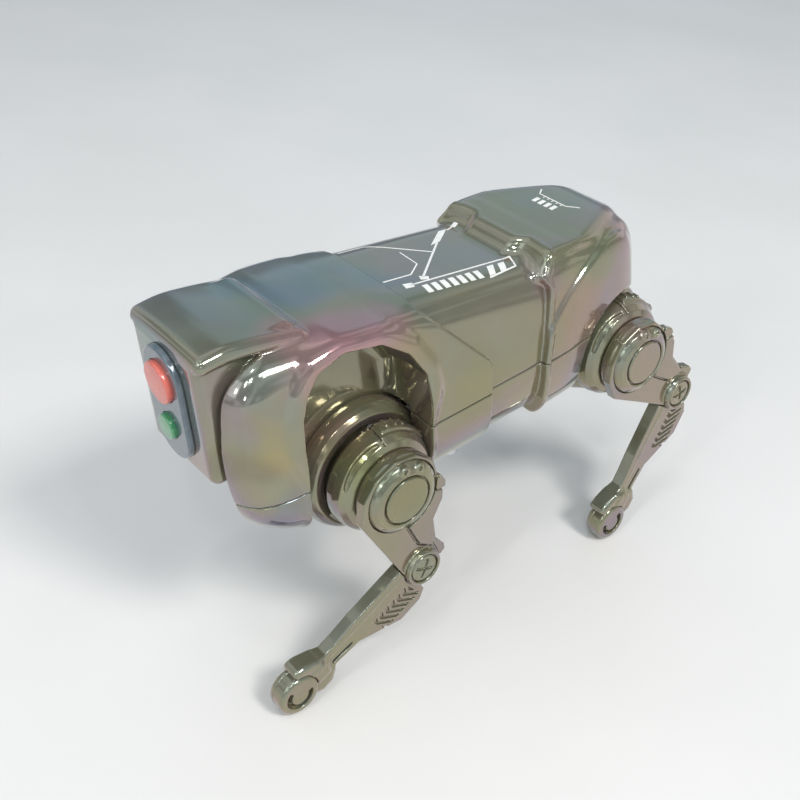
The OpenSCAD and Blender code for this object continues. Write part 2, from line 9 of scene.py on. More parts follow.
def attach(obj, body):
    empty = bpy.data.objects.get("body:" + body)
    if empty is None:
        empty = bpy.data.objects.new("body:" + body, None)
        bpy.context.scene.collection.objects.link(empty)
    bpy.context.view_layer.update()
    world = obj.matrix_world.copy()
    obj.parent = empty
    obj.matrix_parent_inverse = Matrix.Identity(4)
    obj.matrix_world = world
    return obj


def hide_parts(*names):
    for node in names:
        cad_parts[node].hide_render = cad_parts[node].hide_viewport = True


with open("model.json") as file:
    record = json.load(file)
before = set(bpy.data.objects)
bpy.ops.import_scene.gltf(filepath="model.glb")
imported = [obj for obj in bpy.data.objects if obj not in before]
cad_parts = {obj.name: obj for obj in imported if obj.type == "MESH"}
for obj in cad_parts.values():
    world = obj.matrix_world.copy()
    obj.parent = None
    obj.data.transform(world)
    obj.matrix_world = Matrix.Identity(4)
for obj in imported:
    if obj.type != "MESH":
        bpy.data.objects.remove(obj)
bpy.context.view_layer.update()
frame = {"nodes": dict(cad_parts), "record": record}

# ------------------------------------------------------------------ the dog's own measures, in mm
HX, LEG, FOOT_R = 26.0, 35.25, 3.6
A_FRONT, A_REAR = 33.2, 0.7
PITCH = math.asin(LEG * (math.cos(math.radians(A_REAR)) - math.cos(math.radians(A_FRONT))) / (2 * HX))
H0 = (LEG * math.cos(math.radians(A_FRONT)) + LEG * math.cos(math.radians(A_REAR))) / 2 + FOOT_R
X0 = -6.335
SEAM, WALL = 7.0, 1.5
KX, KZ = -16.7 * math.sin(math.radians(49.3)), -16.7 * math.cos(math.radians(49.3))
CA = math.atan2(-KX, KZ + LEG)
CL = math.hypot(KX, KZ + LEG)
RING_F, RING_R, DRUM = 11.3, 10.4, 9.0


def body_to_world(p):
    """Level body frame, mm, to the row frame, mm."""
    c, s = math.cos(PITCH), math.sin(PITCH)
    return np.stack([X0 + p[:, 0] * c + p[:, 2] * s, p[:, 1], H0 - p[:, 0] * s + p[:, 2] * c], 1)


def turn_body(n):
    c, s = math.cos(PITCH), math.sin(PITCH)
    return np.stack([n[:, 0] * c + n[:, 2] * s, n[:, 1], -n[:, 0] * s + n[:, 2] * c], 1)


# ------------------------------------------------------------------ distance fields
def smax(a, b, k):
    h = np.maximum(k - np.abs(a - b), 0) / k
    return np.maximum(a, b) + h * h * k * 0.25


def smin(a, b, k):
    return -smax(-a, -b, k)


def inset(pts, r):
    p = np.asarray(pts, float)
    n = len(p)
    area = 0.5 * sum(p[i][0] * p[(i + 1) % n][1] - p[(i + 1) % n][0] * p[i][1] for i in range(n))
    sgn = 1.0 if area > 0 else -1.0
    out = []
    for i in range(n):
        a, b, c = p[i - 1], p[i], p[(i + 1) % n]
        d1, d2 = (b - a) / np.linalg.norm(b - a), (c - b) / np.linalg.norm(c - b)
        n1, n2 = sgn * np.array([-d1[1], d1[0]]), sgn * np.array([-d2[1], d2[0]])
        m = n1 + n2
        m = m / max(np.linalg.norm(m), 1e-9)
        out.append(b + m * r / max(float(m @ n1), 0.35))
    return np.array(out)


def poly(px, pz, pts, r=0.0):
    """Signed distance of a polygon whose corners are rounded to r."""
    pts = inset(pts, r) if r else np.asarray(pts, float)
    px, pz = np.broadcast_arrays(px, pz)
    d = np.full(px.shape, 1e9)
    s = np.ones(px.shape)
    for i in range(len(pts)):
        a, b = pts[i], pts[i - 1]
        ex, ez = b - a
        wx, wz = px - a[0], pz - a[1]
        t = np.clip((wx * ex + wz * ez) / (ex * ex + ez * ez), 0, 1)
        d = np.minimum(d, (wx - ex * t) ** 2 + (wz - ez * t) ** 2)
        c1, c2, c3 = pz >= a[1], pz < b[1], ex * wz > ez * wx
        s = np.where((c1 & c2 & c3) | (~c1 & ~c2 & ~c3), -s, s)
    return s * np.sqrt(d) - r


def slab(y, y1, y2):
    return np.abs(y - (y1 + y2) / 2) - (y2 - y1) / 2


def box3(x, y, z, c, h, r=0.2):
    qx, qy, qz = np.abs(x - c[0]) - h[0] + r, np.abs(y - c[1]) - h[1] + r, np.abs(z - c[2]) - h[2] + r
    out = np.sqrt(np.maximum(qx, 0) ** 2 + np.maximum(qy, 0) ** 2 + np.maximum(qz, 0) ** 2)
    return out + np.minimum(np.maximum(qx, np.maximum(qy, qz)), 0) - r


def seg(px, pz, a, b):
    ex, ez = b[0] - a[0], b[1] - a[1]
    wx, wz = px - a[0], pz - a[1]
    t = np.clip((wx * ex + wz * ez) / (ex * ex + ez * ez), 0, 1)
    return np.sqrt((wx - ex * t) ** 2 + (wz - ez * t) ** 2)


def rise(v, a, b):
    t = np.clip((v - a) / (b - a), 0, 1)
    return t * t * (3 - 2 * t)


# ------------------------------------------------------------------ field to mesh
CORNERS = [(0, 0, 0), (1, 0, 0), (0, 1, 0), (1, 1, 0), (0, 0, 1), (1, 0, 1), (0, 1, 1), (1, 1, 1)]
EDGES = [(0, 1), (2, 3), (4, 5), (6, 7), (0, 2), (1, 3), (4, 6), (5, 7), (0, 4), (1, 5), (2, 6), (3, 7)]


def surface(f, lo, hi, h):
    """A closed quad mesh of the field's zero surface: (points, quads, normals)."""
    ax = [np.arange(lo[i] - 1.5 * h, hi[i] + 2.5 * h, h) for i in range(3)]
    rows = []
    step = max(1, int(900000 / (len(ax[1]) * len(ax[2]))))
    for i in range(0, len(ax[0]), step):
        rows.append(np.broadcast_to(f(ax[0][i:i + step, None, None], ax[1][None, :, None], ax[2][None, None, :]),
                                    (len(ax[0][i:i + step]), len(ax[1]), len(ax[2]))).astype(np.float32))
    F = np.concatenate(rows)
    F[[0, -1]] = np.maximum(F[[0, -1]], 0.01)
    F[:, [0, -1]] = np.maximum(F[:, [0, -1]], 0.01)
    F[:, :, [0, -1]] = np.maximum(F[:, :, [0, -1]], 0.01)
    F[F == 0] = 1e-6
    S = F < 0
    c = sum(S[a:S.shape[0] - 1 + a, b:S.shape[1] - 1 + b, d:S.shape[2] - 1 + d].astype(np.int8) for a, b, d in CORNERS)
    ci, cj, ck = np.nonzero((c > 0) & (c < 8))
    idx = np.full(c.shape, -1, np.int64)
    idx[ci, cj, ck] = np.arange(len(ci))
    V = np.stack([F[ci + a, cj + b, ck + d] for a, b, d in CORNERS], 1)
    pos = np.zeros((len(ci), 3))
    cnt = np.zeros(len(ci))
    for a, b in EDGES:
        m = (V[:, a] < 0) != (V[:, b] < 0)
        t = np.where(m, V[:, a] / np.where(m, V[:, a] - V[:, b], 1), 0)
        pa, pb = np.array(CORNERS[a], float), np.array(CORNERS[b], float)
        pos += (pa + t[:, None] * (pb - pa)) * m[:, None]
        cnt += m
    pos /= cnt[:, None]
    P = np.stack([ax[0][ci] + pos[:, 0] * h, ax[1][cj] + pos[:, 1] * h, ax[2][ck] + pos[:, 2] * h], 1)
    quads = []
    for axis in range(3):
        A = np.take(S, range(S.shape[axis] - 1), axis)
        B = np.take(S, range(1, S.shape[axis]), axis)
        i, j, k = np.nonzero(A != B)
        keep = np.ones(len(i), bool)
        for other, q in ((0, i), (1, j), (2, k)):
            if other != axis:
                keep &= (q >= 1) & (q < S.shape[other] - 1)
        i, j, k = i[keep], j[keep], k[keep]
        inside_first = A[i, j, k]
        if axis == 0:
            q = [idx[i, j - 1, k - 1], idx[i, j, k - 1], idx[i, j, k], idx[i, j - 1, k]]
        elif axis == 1:
            q = [idx[i - 1, j, k - 1], idx[i - 1, j, k], idx[i, j, k], idx[i, j, k - 1]]
        else:
            q = [idx[i - 1, j - 1, k], idx[i, j - 1, k], idx[i, j, k], idx[i - 1, j, k]]
        q = np.stack(q, 1)
        q[~inside_first] = q[~inside_first][:, ::-1]
        quads.append(q)
    Q = np.concatenate(quads)

    def g_of(p, e):
        g = np.zeros_like(p)
        for a in range(3):
            d = np.zeros(3)
            d[a] = e
            u, w = p + d, p - d
            g[:, a] = (f(u[:, 0], u[:, 1], u[:, 2]) - f(w[:, 0], w[:, 1], w[:, 2])) / (2 * e)
        return g

    start = P.copy()
    for _ in range(3):
        v = f(P[:, 0], P[:, 1], P[:, 2])
        g = g_of(P, h * 0.12)
        g2 = np.maximum((g * g).sum(1), 0.05)
        mv = -g * (v / g2)[:, None]
        ln = np.linalg.norm(mv, axis=1)
        mv *= np.minimum(1, 0.4 * h / np.maximum(ln, 1e-9))[:, None]
        P = P + mv
    off = P - start
    ln = np.linalg.norm(off, axis=1)
    P = start + off * np.minimum(1, 0.6 * h / np.maximum(ln, 1e-9))[:, None]
    g = g_of(P, h * 0.3)
    N = g / np.maximum(np.linalg.norm(g, axis=1), 1e-9)[:, None]
    return P, Q, N


def big_shell_only(P, Q, N, least=60):
    """Leaves out crumbs: connected bits with fewer than least points."""
    parent = np.arange(len(P))
    a = np.concatenate([Q[:, 0], Q[:, 1], Q[:, 2]])
    b = np.concatenate([Q[:, 1], Q[:, 2], Q[:, 3]])
    while True:
        m = np.minimum(parent[a], parent[b])
        new = parent.copy()
        np.minimum.at(new, a, m)
        np.minimum.at(new, b, m)
        new = new[new]
        if np.array_equal(new, parent):
            break
        parent = new
    ids, inv, counts = np.unique(parent, return_inverse=True, return_counts=True)
    good = counts[inv] >= least
    if good.all():
        return P, Q, N
    remap = np.cumsum(good) - 1
    Q = Q[good[Q[:, 0]]]
    return P[good], remap[Q], N[good]


def add_mesh(name, P, Q, N=None):
    """P in mm in the row frame."""
    me = bpy.data.meshes.new(name)
    Q = np.asarray(Q)
    me.vertices.add(len(P))
    me.vertices.foreach_set("co", (np.asarray(P) * 0.001).astype(np.float32).ravel())
    k = Q.shape[1]
    me.loops.add(Q.size)
    me.loops.foreach_set("vertex_index", Q.astype(np.int32).ravel())
    me.polygons.add(len(Q))
    me.polygons.foreach_set("loop_start", np.arange(0, Q.size, k, dtype=np.int32))
    me.update(calc_edges=True)
    me.polygons.foreach_set("use_smooth", np.ones(len(Q), bool))
    me.validate()
    if N is not None:
        me.normals_split_custom_set_from_vertices([tuple(v) for v in N])
    o = bpy.data.objects.new(name, me)
    bpy.context.scene.collection.objects.link(o)
    return o


CACHE = {}


def built(key, f, lo, hi, h):
    if key not in CACHE:
        CACHE[key] = big_shell_only(*surface(f, lo, hi, h))
    return CACHE[key]


def place_body(name, key, f, lo, hi, h, mirror=False, shift=(0, 0, 0)):
    P, Q, N = built(key, f, lo, hi, h)
    P, N = P + np.array(shift), N.copy()
    if mirror:
        P = P * [1, -1, 1]
        N = N * [1, -1, 1]
        Q = Q[:, ::-1]
    return add_mesh(name, body_to_world(P), Q, turn_body(N))


def place_leg(name, key, f, lo, hi, h, s, e, local=None):
    """Field in the left leg's frame (x forward, y outward, z up the leg), set at a hip."""
    P, Q, N = built(key, f, lo, hi, h)
    if local:
        P, N = local(P), local(N, True)
    th = -math.radians(s * A_FRONT if e > 0 else A_REAR if s > 0 else A_FRONT)
    c, sn = math.cos(th), math.sin(th)
    hip = body_to_world(np.array([[e * HX, 0.0, 0.0]]))[0]
    W = np.stack([P[:, 0] * c + P[:, 2] * sn, P[:, 1] * s, -P[:, 0] * sn + P[:, 2] * c], 1) + hip
    M = np.stack([N[:, 0] * c + N[:, 2] * sn, N[:, 1] * s, -N[:, 0] * sn + N[:, 2] * c], 1)
    if s < 0:
        Q = Q[:, ::-1]
    return add_mesh(name, W, Q, M)


# ------------------------------------------------------------------ torso
GRID = np.arange(-44, 60, 0.05)


def table(xs, vs, sigma):
    v = np.interp(GRID, xs, vs)
    n = int(4 * sigma / 0.05)
    w = np.exp(-0.5 * (np.arange(-n, n + 1) * 0.05 / sigma) ** 2)
    w /= w.sum()
    v = np.convolve(np.concatenate([np.full(n, v[0]), v, np.full(n, v[-1])]), w, "valid")
    return lambda x: np.interp(x, GRID, v)


def tables(rows, sigma):
    rows = np.array(rows, float)
    return [table(rows[:, 0], rows[:, i], sigma) for i in range(1, 12)]


# x, top half-width, top z, shoulder y, z, side half-width, its upper z, lower z, chine y, z, bottom half-width, bottom z
REAR = tables([
    [-36.0, 6.6, 21.0, 8.6, 18.0, 9.2, 12.0, 1.6, 7.8, -0.8, 5.4, -2.8],
    [-33.5, 6.8, 22.0, 9.2, 18.8, 9.9, 13.0, 0.9, 8.4, -1.6, 6.0, -3.4],
    [-31.5, 7.1, 22.8, 9.8, 19.8, 10.5, 13.5, 0.5, 9.0, -2.2, 6.5, -4.0],
    [-27.0, 8.4, 23.9, 11.3, 21.4, 12.1, 14.5, 0.0, 10.5, -3.2, 8.0, -4.8],
    [-20.0, 10.4, 24.4, 12.6, 22.4, 13.4, 15.0, 0.0, 11.8, -3.4, 9.0, -5.0],
    [-12.0, 11.2, 24.7, 13.2, 22.8, 14.3, 15.5, 0.5, 12.8, -3.0, 10.0, -5.0],
    [-5.0, 11.0, 24.8, 13.2, 22.6, 14.5, 15.5, 1.0, 13.2, -2.6, 10.5, -5.0]], 1.6)
MID = tables([
    [-12.0, 10.2, 21.9, 12.4, 19.7, 14.2, 13.0, 1.5, 12.6, -2.4, 10.0, -4.6],
    [22.0, 10.2, 27.2, 12.8, 25.0, 14.2, 14.0, 1.5, 12.6, -2.4, 10.0, -4.6]], 1.0)
FRONT = tables([
    [4.0, 10.3, 24.6, 12.9, 22.2, 15.1, 13.5, 1.5, 13.2, -2.6, 10.2, -5.0],
    [13.0, 10.3, 26.0, 13.0, 24.0, 15.1, 14.2, 1.5, 13.2, -2.6, 10.2, -5.0],
    [17.0, 10.3, 26.7, 13.0, 25.3, 15.05, 14.6, 1.2, 13.2, -2.7, 10.2, -5.0],
    [20.5, 10.1, 27.4, 13.1, 26.6, 15.0, 15.0, 1.0, 13.2, -2.8, 10.2, -5.0],
    [28.0, 9.8, 28.2, 13.1, 27.3, 14.9, 15.8, 1.0, 13.0, -2.6, 10.0, -4.8],
    [35.0, 9.8, 28.9, 13.0, 27.3, 14.8, 16.5, 1.2, 12.8, -2.2, 9.6, -4.4],
    [41.0, 9.6, 29.1, 12.9, 26.7, 14.7, 17.0, 2.0, 12.6, -1.4, 9.0, -3.8],
    [46.0, 9.5, 29.1, 12.6, 25.8, 14.5, 16.5, 2.6, 12.3, -0.8, 8.6, -3.2],
    [54.0, 9.5, 29.1, 12.4, 25.2, 14.5, 16.0, 2.6, 12.2, -0.8, 8.6, -3.2]], 1.4)
ROOF_TOP = table([33, 34, 40.5, 46, 50.5, 54], [29.5, 29.8, 31.3, 32.25, 31.9, 31.2], 1.3)


def edge_plane(y, z, y1, z1, y2, z2):
    dy, dz = y2 - y1, z2 - z1
    n = np.sqrt(dy * dy + dz * dz)
    return ((y - y1) * (-dz) + (z - z1) * dy) / n


def section(x, u, z, T, k, k2=None):
    th, tz, sy, sz, w, uz, lz, cy, cz, bh, bz = [t(x) for t in T]
    k2 = k if k2 is None else k2
    d = z - tz
    d = smax(d, edge_plane(u, z, th, tz, sy, sz), k)
    d = smax(d, edge_plane(u, z, sy, sz, w, uz), k)
    d = smax(d, u - w + 0 * z, k2)
    d = smax(d, edge_plane(u, z, w, lz, cy, cz), k)
    d = smax(d, edge_plane(u, z, cy, cz, bh, bz), k)
    return smax(d, bz - z, k)


ARCH = [[13.6, -30], [13.6, 14], [13.1, 19.2], [11.9, 22.3], [9.6, 25.0], [5.3, 26.2], [-0.9, 24.8], [-5.4, 21.3], [-7.9, 16.8], [-8.3, 12], [-8.3, 0], [-11.6, -9], [-11.6, -30]]
PANEL = [[16.8, 44], [16.8, 25.8], [5.7, 13.5], [5.2, 12.2], [5.2, -1.5], [7.5, -10], [64, -10], [64, 44]]
ROOF = [[33.7, -9.85], [51.0, -9.55], [51.0, 9.55], [33.7, 9.85]]


def arch2(x, z):
    return poly(x - HX, z, ARCH, 1.0)


def front_part(x, u, z):
    k2 = 0.5 + 1.5 * rise(x, 16.5, 20)
    d = section(x, u, z, FRONT, 1.7, k2)
    nose = 50.35 - 0.02 * np.maximum(z - 16, 0) ** 2 - 0.011 * np.maximum(15.5 - z, 0) ** 2 - 0.05 * np.maximum(z - 24, 0) ** 2 - 0.03 * np.maximum(5 - z, 0) ** 2
    # the cheeks bulge past a V groove on each side of the head box
    groove = 2.6 * np.maximum(9.8 - u, 0) ** 2
    nose = nose - 8.2 * groove / (groove + 7.0)
    d = smax(d, x - nose, 8.0 - 3.0 * rise(z, 19, 26))
    # the raised lip that follows the arch
    a = arch2(x, z)
    reach = 0.15 + 2.1 * rise(z, 6, 15)
    lip = smax(d - 0.55, a - reach, 1.5)
    d = smin(d, lip, 1.3)
    return smax(d, poly(x, z, PANEL, 0.8), 0.35)


def head_part(x, u, z):
    b = box3(x, u, z, (43.0, 0, 20.2), (8.1, 8.6, 10.5), 1.5)
    top = ROOF_TOP(x) - 0.0045 * u * u
    plan = poly(x, u, ROOF, 1.3)
    r = smax(smax(plan, z - top, 1.6), top - 2.4 - z, 1.2)
    return b, r


def block_edge(x, u, z):
    """Below zero behind the front edge of the rear block."""
    side = np.interp(z, [-10, 0, 7, 19, 23, 30], [-7.4, -6.1, -6.1, -8.0, -8.4, -8.4])
    jog = -6.9 - 1.5 * rise(u, 4.0, 6.4) + 0.6 * rise(u, 6.4, 12.5)
    top = (x - jog) * 0.75 + (z - 22.7) * 0.45
    w = rise(z, 19.5, 22.2)
    return (x - side) * (1 - w) + top * w


def rear_part(x, u, z):
    th, tz, sy, sz, w, uz, lz, cy, cz, bh, bz = [t(x) for t in REAR]
    low = 1.15 * rise(-x, 13.0, 18.0)
    d = z - tz + low
    d = smax(d, edge_plane(u, z, th, tz - low * 0.6, sy, sz - low * 0.3), 1.5)
    d = smax(d, edge_plane(u, z, sy, sz - low * 0.3, w, uz), 2.2)
    d = smax(d, u - w + 0 * z, 2.0)
    d = smax(d, edge_plane(u, z, w, lz, cy, cz), 1.8)
    d = smax(d, edge_plane(u, z, cy, cz, bh, bz), 1.8)
    d = smax(d, bz - z, 1.8)
    # the plateau that narrows towards the rump
    ye = np.interp(x, [-36, -25.5, -16.2, -12, 0], [2.6, 7.2, 11.6, 11.6, 11.2])
    plat = smax(z - tz, ((u - ye) * 0.62 + (z - tz) * 0.78), 0.8)
    plat = smax(plat, u - th - 1.0, 0.8)
    plat = smax(plat, 12 - z, 1)
    d = smin(d, smax(plat, d - 1.3, 0.3), 0.35)
    # the fender over the rear hip
    rr = np.sqrt((x + HX) ** 2 + z ** 2)
    f = smax(smax(d - 0.65, rr - 22.4, 0.8), 9.6 - u, 2.5)
    d = smin(d, f, 0.6)
    d = smax(d, -34.9 - x + 0.05 * np.abs(z - 9) + 0.004 * (z - 9) ** 2, 5.5)
    e = block_edge(x, u, z)
    # flange along its front edge, with a narrow groove behind it
    d = smin(d, smax(d - 0.38 * (1 - rise(z, 19.5, 22.5)), -e - 1.15, 0.5), 0.35)
    return smax(d, e, 0.45 + 0.75 * rise(z, 20, 23))


def body_plain(x, u, z):
    """The outside without its sockets."""
    f = front_part(x, u, z)
    m = smax(section(x, u, z, MID, 2.4), np.abs(x - 5) - 15.5, 0.5)
    r = rear_part(x, u, z)
    d = smin(smin(f, m, 0.18), r, 0.3 + 1.7 * rise(z, 19, 21.5))
    b, roof = head_part(x, u, z)
    d = smin(d, b, 0.6)
    return smin(d, roof, 0.4)


def sockets(x, u, z):
    rf = np.sqrt((x - HX) ** 2 + z ** 2)
    rb = np.sqrt((x + HX) ** 2 + z ** 2)
    a = smax(arch2(x, z), 6.2 - u, 3.6)
    a = smin(a, smax(rf - RING_F - 0.25, slab(u, 6.2, 9.8), 0.3), 0.3)
    low = poly(x + HX, z, [[-10.65, 0], [10.65, 0], [10.65, -30], [-10.65, -30]])
    b = smax(np.minimum(rb - RING_R - 0.25, low), 6.2 - u, 1.2)
    return np.minimum(a, b)


SCREWS = [[38.2, 0.05, 27.6, -2.9], [10.6, 10.3, 23.0, -2.6], [-11.9, 10.3, 22.9, -2.6], [-29.5, 0.05, 21.2, -3.15]]


def shell(x, y, z):
    u = np.abs(y)
    base = body_plain(x, u, z)
    k = sockets(x, u, z)
    d = smax(base, -k, 0.55)
    cavity = smax(base + WALL, WALL - k, 0.6)
    cavity = smax(cavity, x - 48.6, 0.5)
    d = smax(d, -cavity, 0.2)
    # posts and ribs
    for p in SCREWS:
        post = np.maximum(np.hypot(x - p[0], u - (p[1] if p[1] > 1 else 0)) - 1.5, slab(z, p[3], p[2]))
        d = smin(d, np.maximum(post, base + 0.3), 0.3)
    rib = np.minimum(np.maximum(poly(x, z, [[-11, 18.82], [10, 18.82], [10, 24.7], [-7.4, 21.9], [-11, 21.9]]), slab(u, 4.6, 5.6)), box3(x, u, z, (-1, 5.1, -2.91), (8, 0.5, 0.69), 0.1))
    d = np.minimum(d, np.maximum(rib, base + 0.3))
    for p in SCREWS:
        r = np.hypot(x - p[0], u - (p[1] if p[1] > 1 else 0))
        d = np.maximum(d, -np.maximum(r - 0.8, z - 12))
        d = smax(d, -np.maximum(r - 1.65, z + 3.2), 0.15)
    # axle holes, link slots, winding shaft, face peg
    for cx in (HX, -HX):
        d = np.maximum(d, -np.maximum(np.hypot(x - cx, z) - 1.58, u - 10))
    d = np.maximum(d, -box3(x, u, z, (HX - 9.6, 7.47, 5.4), (4.0, 0.45, 1.9), 0.1))
    d = np.maximum(d, -box3(x, u, z, (-HX + 8.5, 7.75, 5.4), (5.3, 1.05, 4.4), 0.2))
    d = smax(d, -np.maximum(np.hypot(x + 8.55, z - 8.4) - 2.1, y + 4), 0.3)
    return np.maximum(d, -np.maximum(np.hypot(y, z - 20.7) - 1.2, 47.6 - x))


def upper(x, y, z):
    return smax(shell(x, y, z), SEAM + 0.05 - z, 0.22)


def lower(x, y, z):
    return smax(shell(x, y, z), z - SEAM + 0.05, 0.22)


# ------------------------------------------------------------------ face
def pill(x, y, z):
    q = np.hypot(y, z - np.clip(z, 16.3, 25.0)) - 4.8
    d = smax(q, slab(x, 51.12, 52.07), 0.45)
    d = smin(d, smax(q - 0.0, slab(x, 51.12, 51.4), 0.1), 0.2)
    d = smax(d, -np.maximum(np.hypot(y, z - 24.5) - 3.27, 51.47 - x), 0.12)
    d = smax(d, -np.maximum(np.hypot(y, z - 16.9) - 2.06, 51.47 - x), 0.12)
    return np.minimum(d, np.maximum(np.hypot(y, z - 20.7) - 1.1, slab(x, 48.5, 51.3)))


def button(r0, zc, top):
    def f(x, y, z):
        r = np.hypot(y, z - zc)
        face = top - 0.035 * r * r / r0
        d = smax(r - r0, np.maximum(51.49 - x, x - face), 0.3)
        return smax(d, 51.49 - x, 0.05)
    return f


# ------------------------------------------------------------------ hips
def ring_field(rad):
    prof = [[1.58, 6.25], [rad, 6.25], [rad, 7.3], [rad - 0.18, 8.2], [rad - 0.6, 8.95], [rad - 1.15, 9.45], [(rad + 8.3) / 2, 9.68], [8.6, 9.3], [8.3, 8.8], [7.95, 8.7], [7.95, 8.45], [rad - 2.4, 8.45], [rad - 2.4, 7.0], [1.58, 7.0]]

    def f(x, y, z):
        r = np.hypot(x, z)
        return poly(r, y, prof, 0.3)
    return f


def ring_front_f(x, y, z):
    d = ring_field(RING_F)(x, y, z)
    return np.maximum(d, -box3(x, y, z, (-9.6, 7.47, 5.4), (4.0, 0.45, 1.9), 0.1))


def ring_rear_f(x, y, z):
    d = ring_field(RING_R)(x, y, z)
    return np.maximum(d, -box3(x, y, z, (8.5, 7.9, 5.4), (5.3, 1.0, 4.4), 0.1))


def drum(x, y, z):
    r = np.hypot(x, z)
    ang = np.degrees(np.arctan2(x, z))          # 0 up, 90 forward
    prof = [[1.58, 9.5], [7.7, 9.5], [7.8, 9.9], [8.6, 10.35], [9.0, 11.1], [8.95, 12.3], [8.6, 13.6], [7.9, 14.6], [6.9, 15.1], [1.58, 15.1]]
    d = poly(r, y, prof, 0.5)
    arc = lambda c, half: (np.abs(((ang - c) + 180) % 360 - 180) - half) * np.pi / 180 * 9
    # raised motor housing behind the top, its end stop and small ribs
    pad = smax(smax(d - 0.38, arc(-34, 31), 0.3), slab(y, 10.3, 13.1), 0.3)
    d = smin(d, pad, 0.2)
    stop = smax(smax(d - 0.55, arc(-66, 5), 0.2), slab(y, 10.0, 12.4), 0.2)
    d = smin(d, stop, 0.15)
    for c, wd, y1, y2 in ((-12, 1.6, 10.9, 12.6), (-22, 1.2, 10.9, 12.6), (-31, 1.2, 11.2, 12.6), (4, 1.0, 9.9, 11.2), (10, 1.0, 9.9, 11.0)):
        d = smin(d, smax(smax(d - 0.3, arc(c, wd), 0.2), slab(y, y1, y2), 0.2), 0.15)
    # front flange low on the drum
    d = smin(d, smax(smax(r - 9.3, slab(y, 9.8, 10.45), 0.25), arc(150, 34), 0.6), 0.3)
    # panel line over the drum and the crescent slot on its shoulder
    d = smax(d, 0.13 - np.maximum(np.abs(arc(1.5, 0)), np.maximum(9.6 - y, y - 14.4)) - np.maximum(-d - 0.28, 0) * 3, 0.12)
    sy = 14.05 + 0 * r
    crescent = np.sqrt((np.maximum(arc(38, 30), 0)) ** 2 + ((y - sy) * 1.0) ** 2) - 0.42 * np.sqrt(np.clip(1 - (((ang - 38) + 180) % 360 - 180) ** 2 / 34.0 ** 2, 0.02, 1))
    d = smax(d, -np.maximum(crescent, -d - 0.4), 0.18)
    return d


def cap(x, y, z):
    r = np.hypot(x, z)
    prof = [[1.52, 17.2], [6.3, 17.2], [6.3, 17.7], [6.0, 18.35], [5.4, 18.9], [4.65, 19.2], [4.32, 19.1], [4.25, 18.6], [4.02, 18.6], [3.92, 19.15], [3.7, 19.3], [0, 19.3], [0, 18.02], [1.52, 18.02]]
    d = poly(r, y, prof, 0.07)
    d = smax(d, y - 19.3, 0.05)
    for a in (0, -30):
        bx, bz = 5.45 * math.sin(math.radians(a)), 5.45 * math.cos(math.radians(a))
        q = np.hypot(x - bx, z - bz)
        b = smax(q - 0.8, y - 19.2, 0.5)
        b = smax(b, 17.4 - y, 0.1)
        d = smin(d, b, 0.25)
        d = smax(d, -smax(q - 0.34, 18.85 - y, 0.1), 0.12)
    return d


# ------------------------------------------------------------------ legs, in the left leg's own frame
THIGH = [[-2.4, 6.7], [1.6, 6.8], [5.2, 4.8], [7.0, 1.0], [6.9, -2.6], [4.9, -6.3], [-4.2, -10.4], [-9.9, -13.1], [KX + 0.5, KZ - 3.36], [KX - 2, KZ - 2.8], [KX - 3.3, KZ - 0.8], [KX - 3.1, KZ + 1.7], [KX - 3.6, KZ + 3.6], [KX - 2.8, KZ + 4.4], [-12.9, -5.8], [-9.5, -2.2], [-8.9, 1.6], [-7.0, 4.1], [-5.4, 4.4]]
THIGH_PANEL = [[-4.9, -4.7], [-9.2, -7.1], [-12.5, -6.9], [-12.5, -6.0], [-9.1, -2.5], [-8.5, 1.2], [-7.6, 2.6], [-5.6, 2.0]]


def thigh(x, y, z):
    r = np.hypot(x, z)
    d = smax(poly(x, z, THIGH, 0.35), slab(y, 16.2, 18.0), 0.3)
    # softened lower front flank
    d = smin(d, smax(r - 6.9, slab(y, 15.42, 17.0), 0.25), 0.3)
    pan = poly(x, z, THIGH_PANEL, 0.3)
    d = smax(d, -smax(np.abs(pan - 0.22) - 0.2, 17.55 - y, 0.12), 0.12)
    d = smin(d, smax(pan, slab(y, 17.4, 18.42), 0.25), 0.1)
    tabb = poly(x, z, [[-7.6, 3.3], [-6.9, 4.3], [-5.2, 4.9], [-4.7, 3.0], [-6.4, 2.3]], 0.25)
    d = smin(d, smax(tabb, slab(y, 17.4, 18.45), 0.2), 0.1)
    kr = np.hypot(x - KX, z - KZ)
    ring = poly(kr, y, [[0, 16.2], [3.35, 16.2], [3.35, 18.5], [3.2, 18.95], [2.95, 19.1], [2.7, 18.95], [2.6, 18.3], [0, 18.3]], 0.06)
    d = smin(d, smax(ring, 16.2 - y, 0.05), 0.3)
    d = smax(d, -np.maximum(kr - 2.62, 18.3 - y), 0.1)
    d = np.maximum(d, -np.maximum(kr - 0.95, 15 - y))
    d = smax(d, -np.maximum(r - 6.36, 17.15 - y), 0.15)
    d = np.maximum(d, -np.maximum(r - 1.52, y - 17.5))
    # small step at the heel of the plate
    d = smax(d, -smax(np.abs(seg(x, z, (KX - 3.2, KZ + 2.3), (KX + 0.6, KZ + 4.3)) - 0.0) - 0.16, 17.8 - y, 0.1), 0.1)
    return d


CALF = [[2.9, -2.4], [2.6, -8], [2.2, -14], [1.7, -18], [1.6, -20.6], [2.5, -22.4], [3.9, -CL + 3.2], [4.15, -CL + 1.6], [-3.4, -CL + 1.9], [-4.4, -CL + 3.4], [-4.3, -22.2], [-2.6, -20.3], [-2.3, -19.5], [-2.6, -15.2], [-3.4, -13.9], [-6.9, -7.9], [-6.6, -3.4], [-5.2, -1.8]]


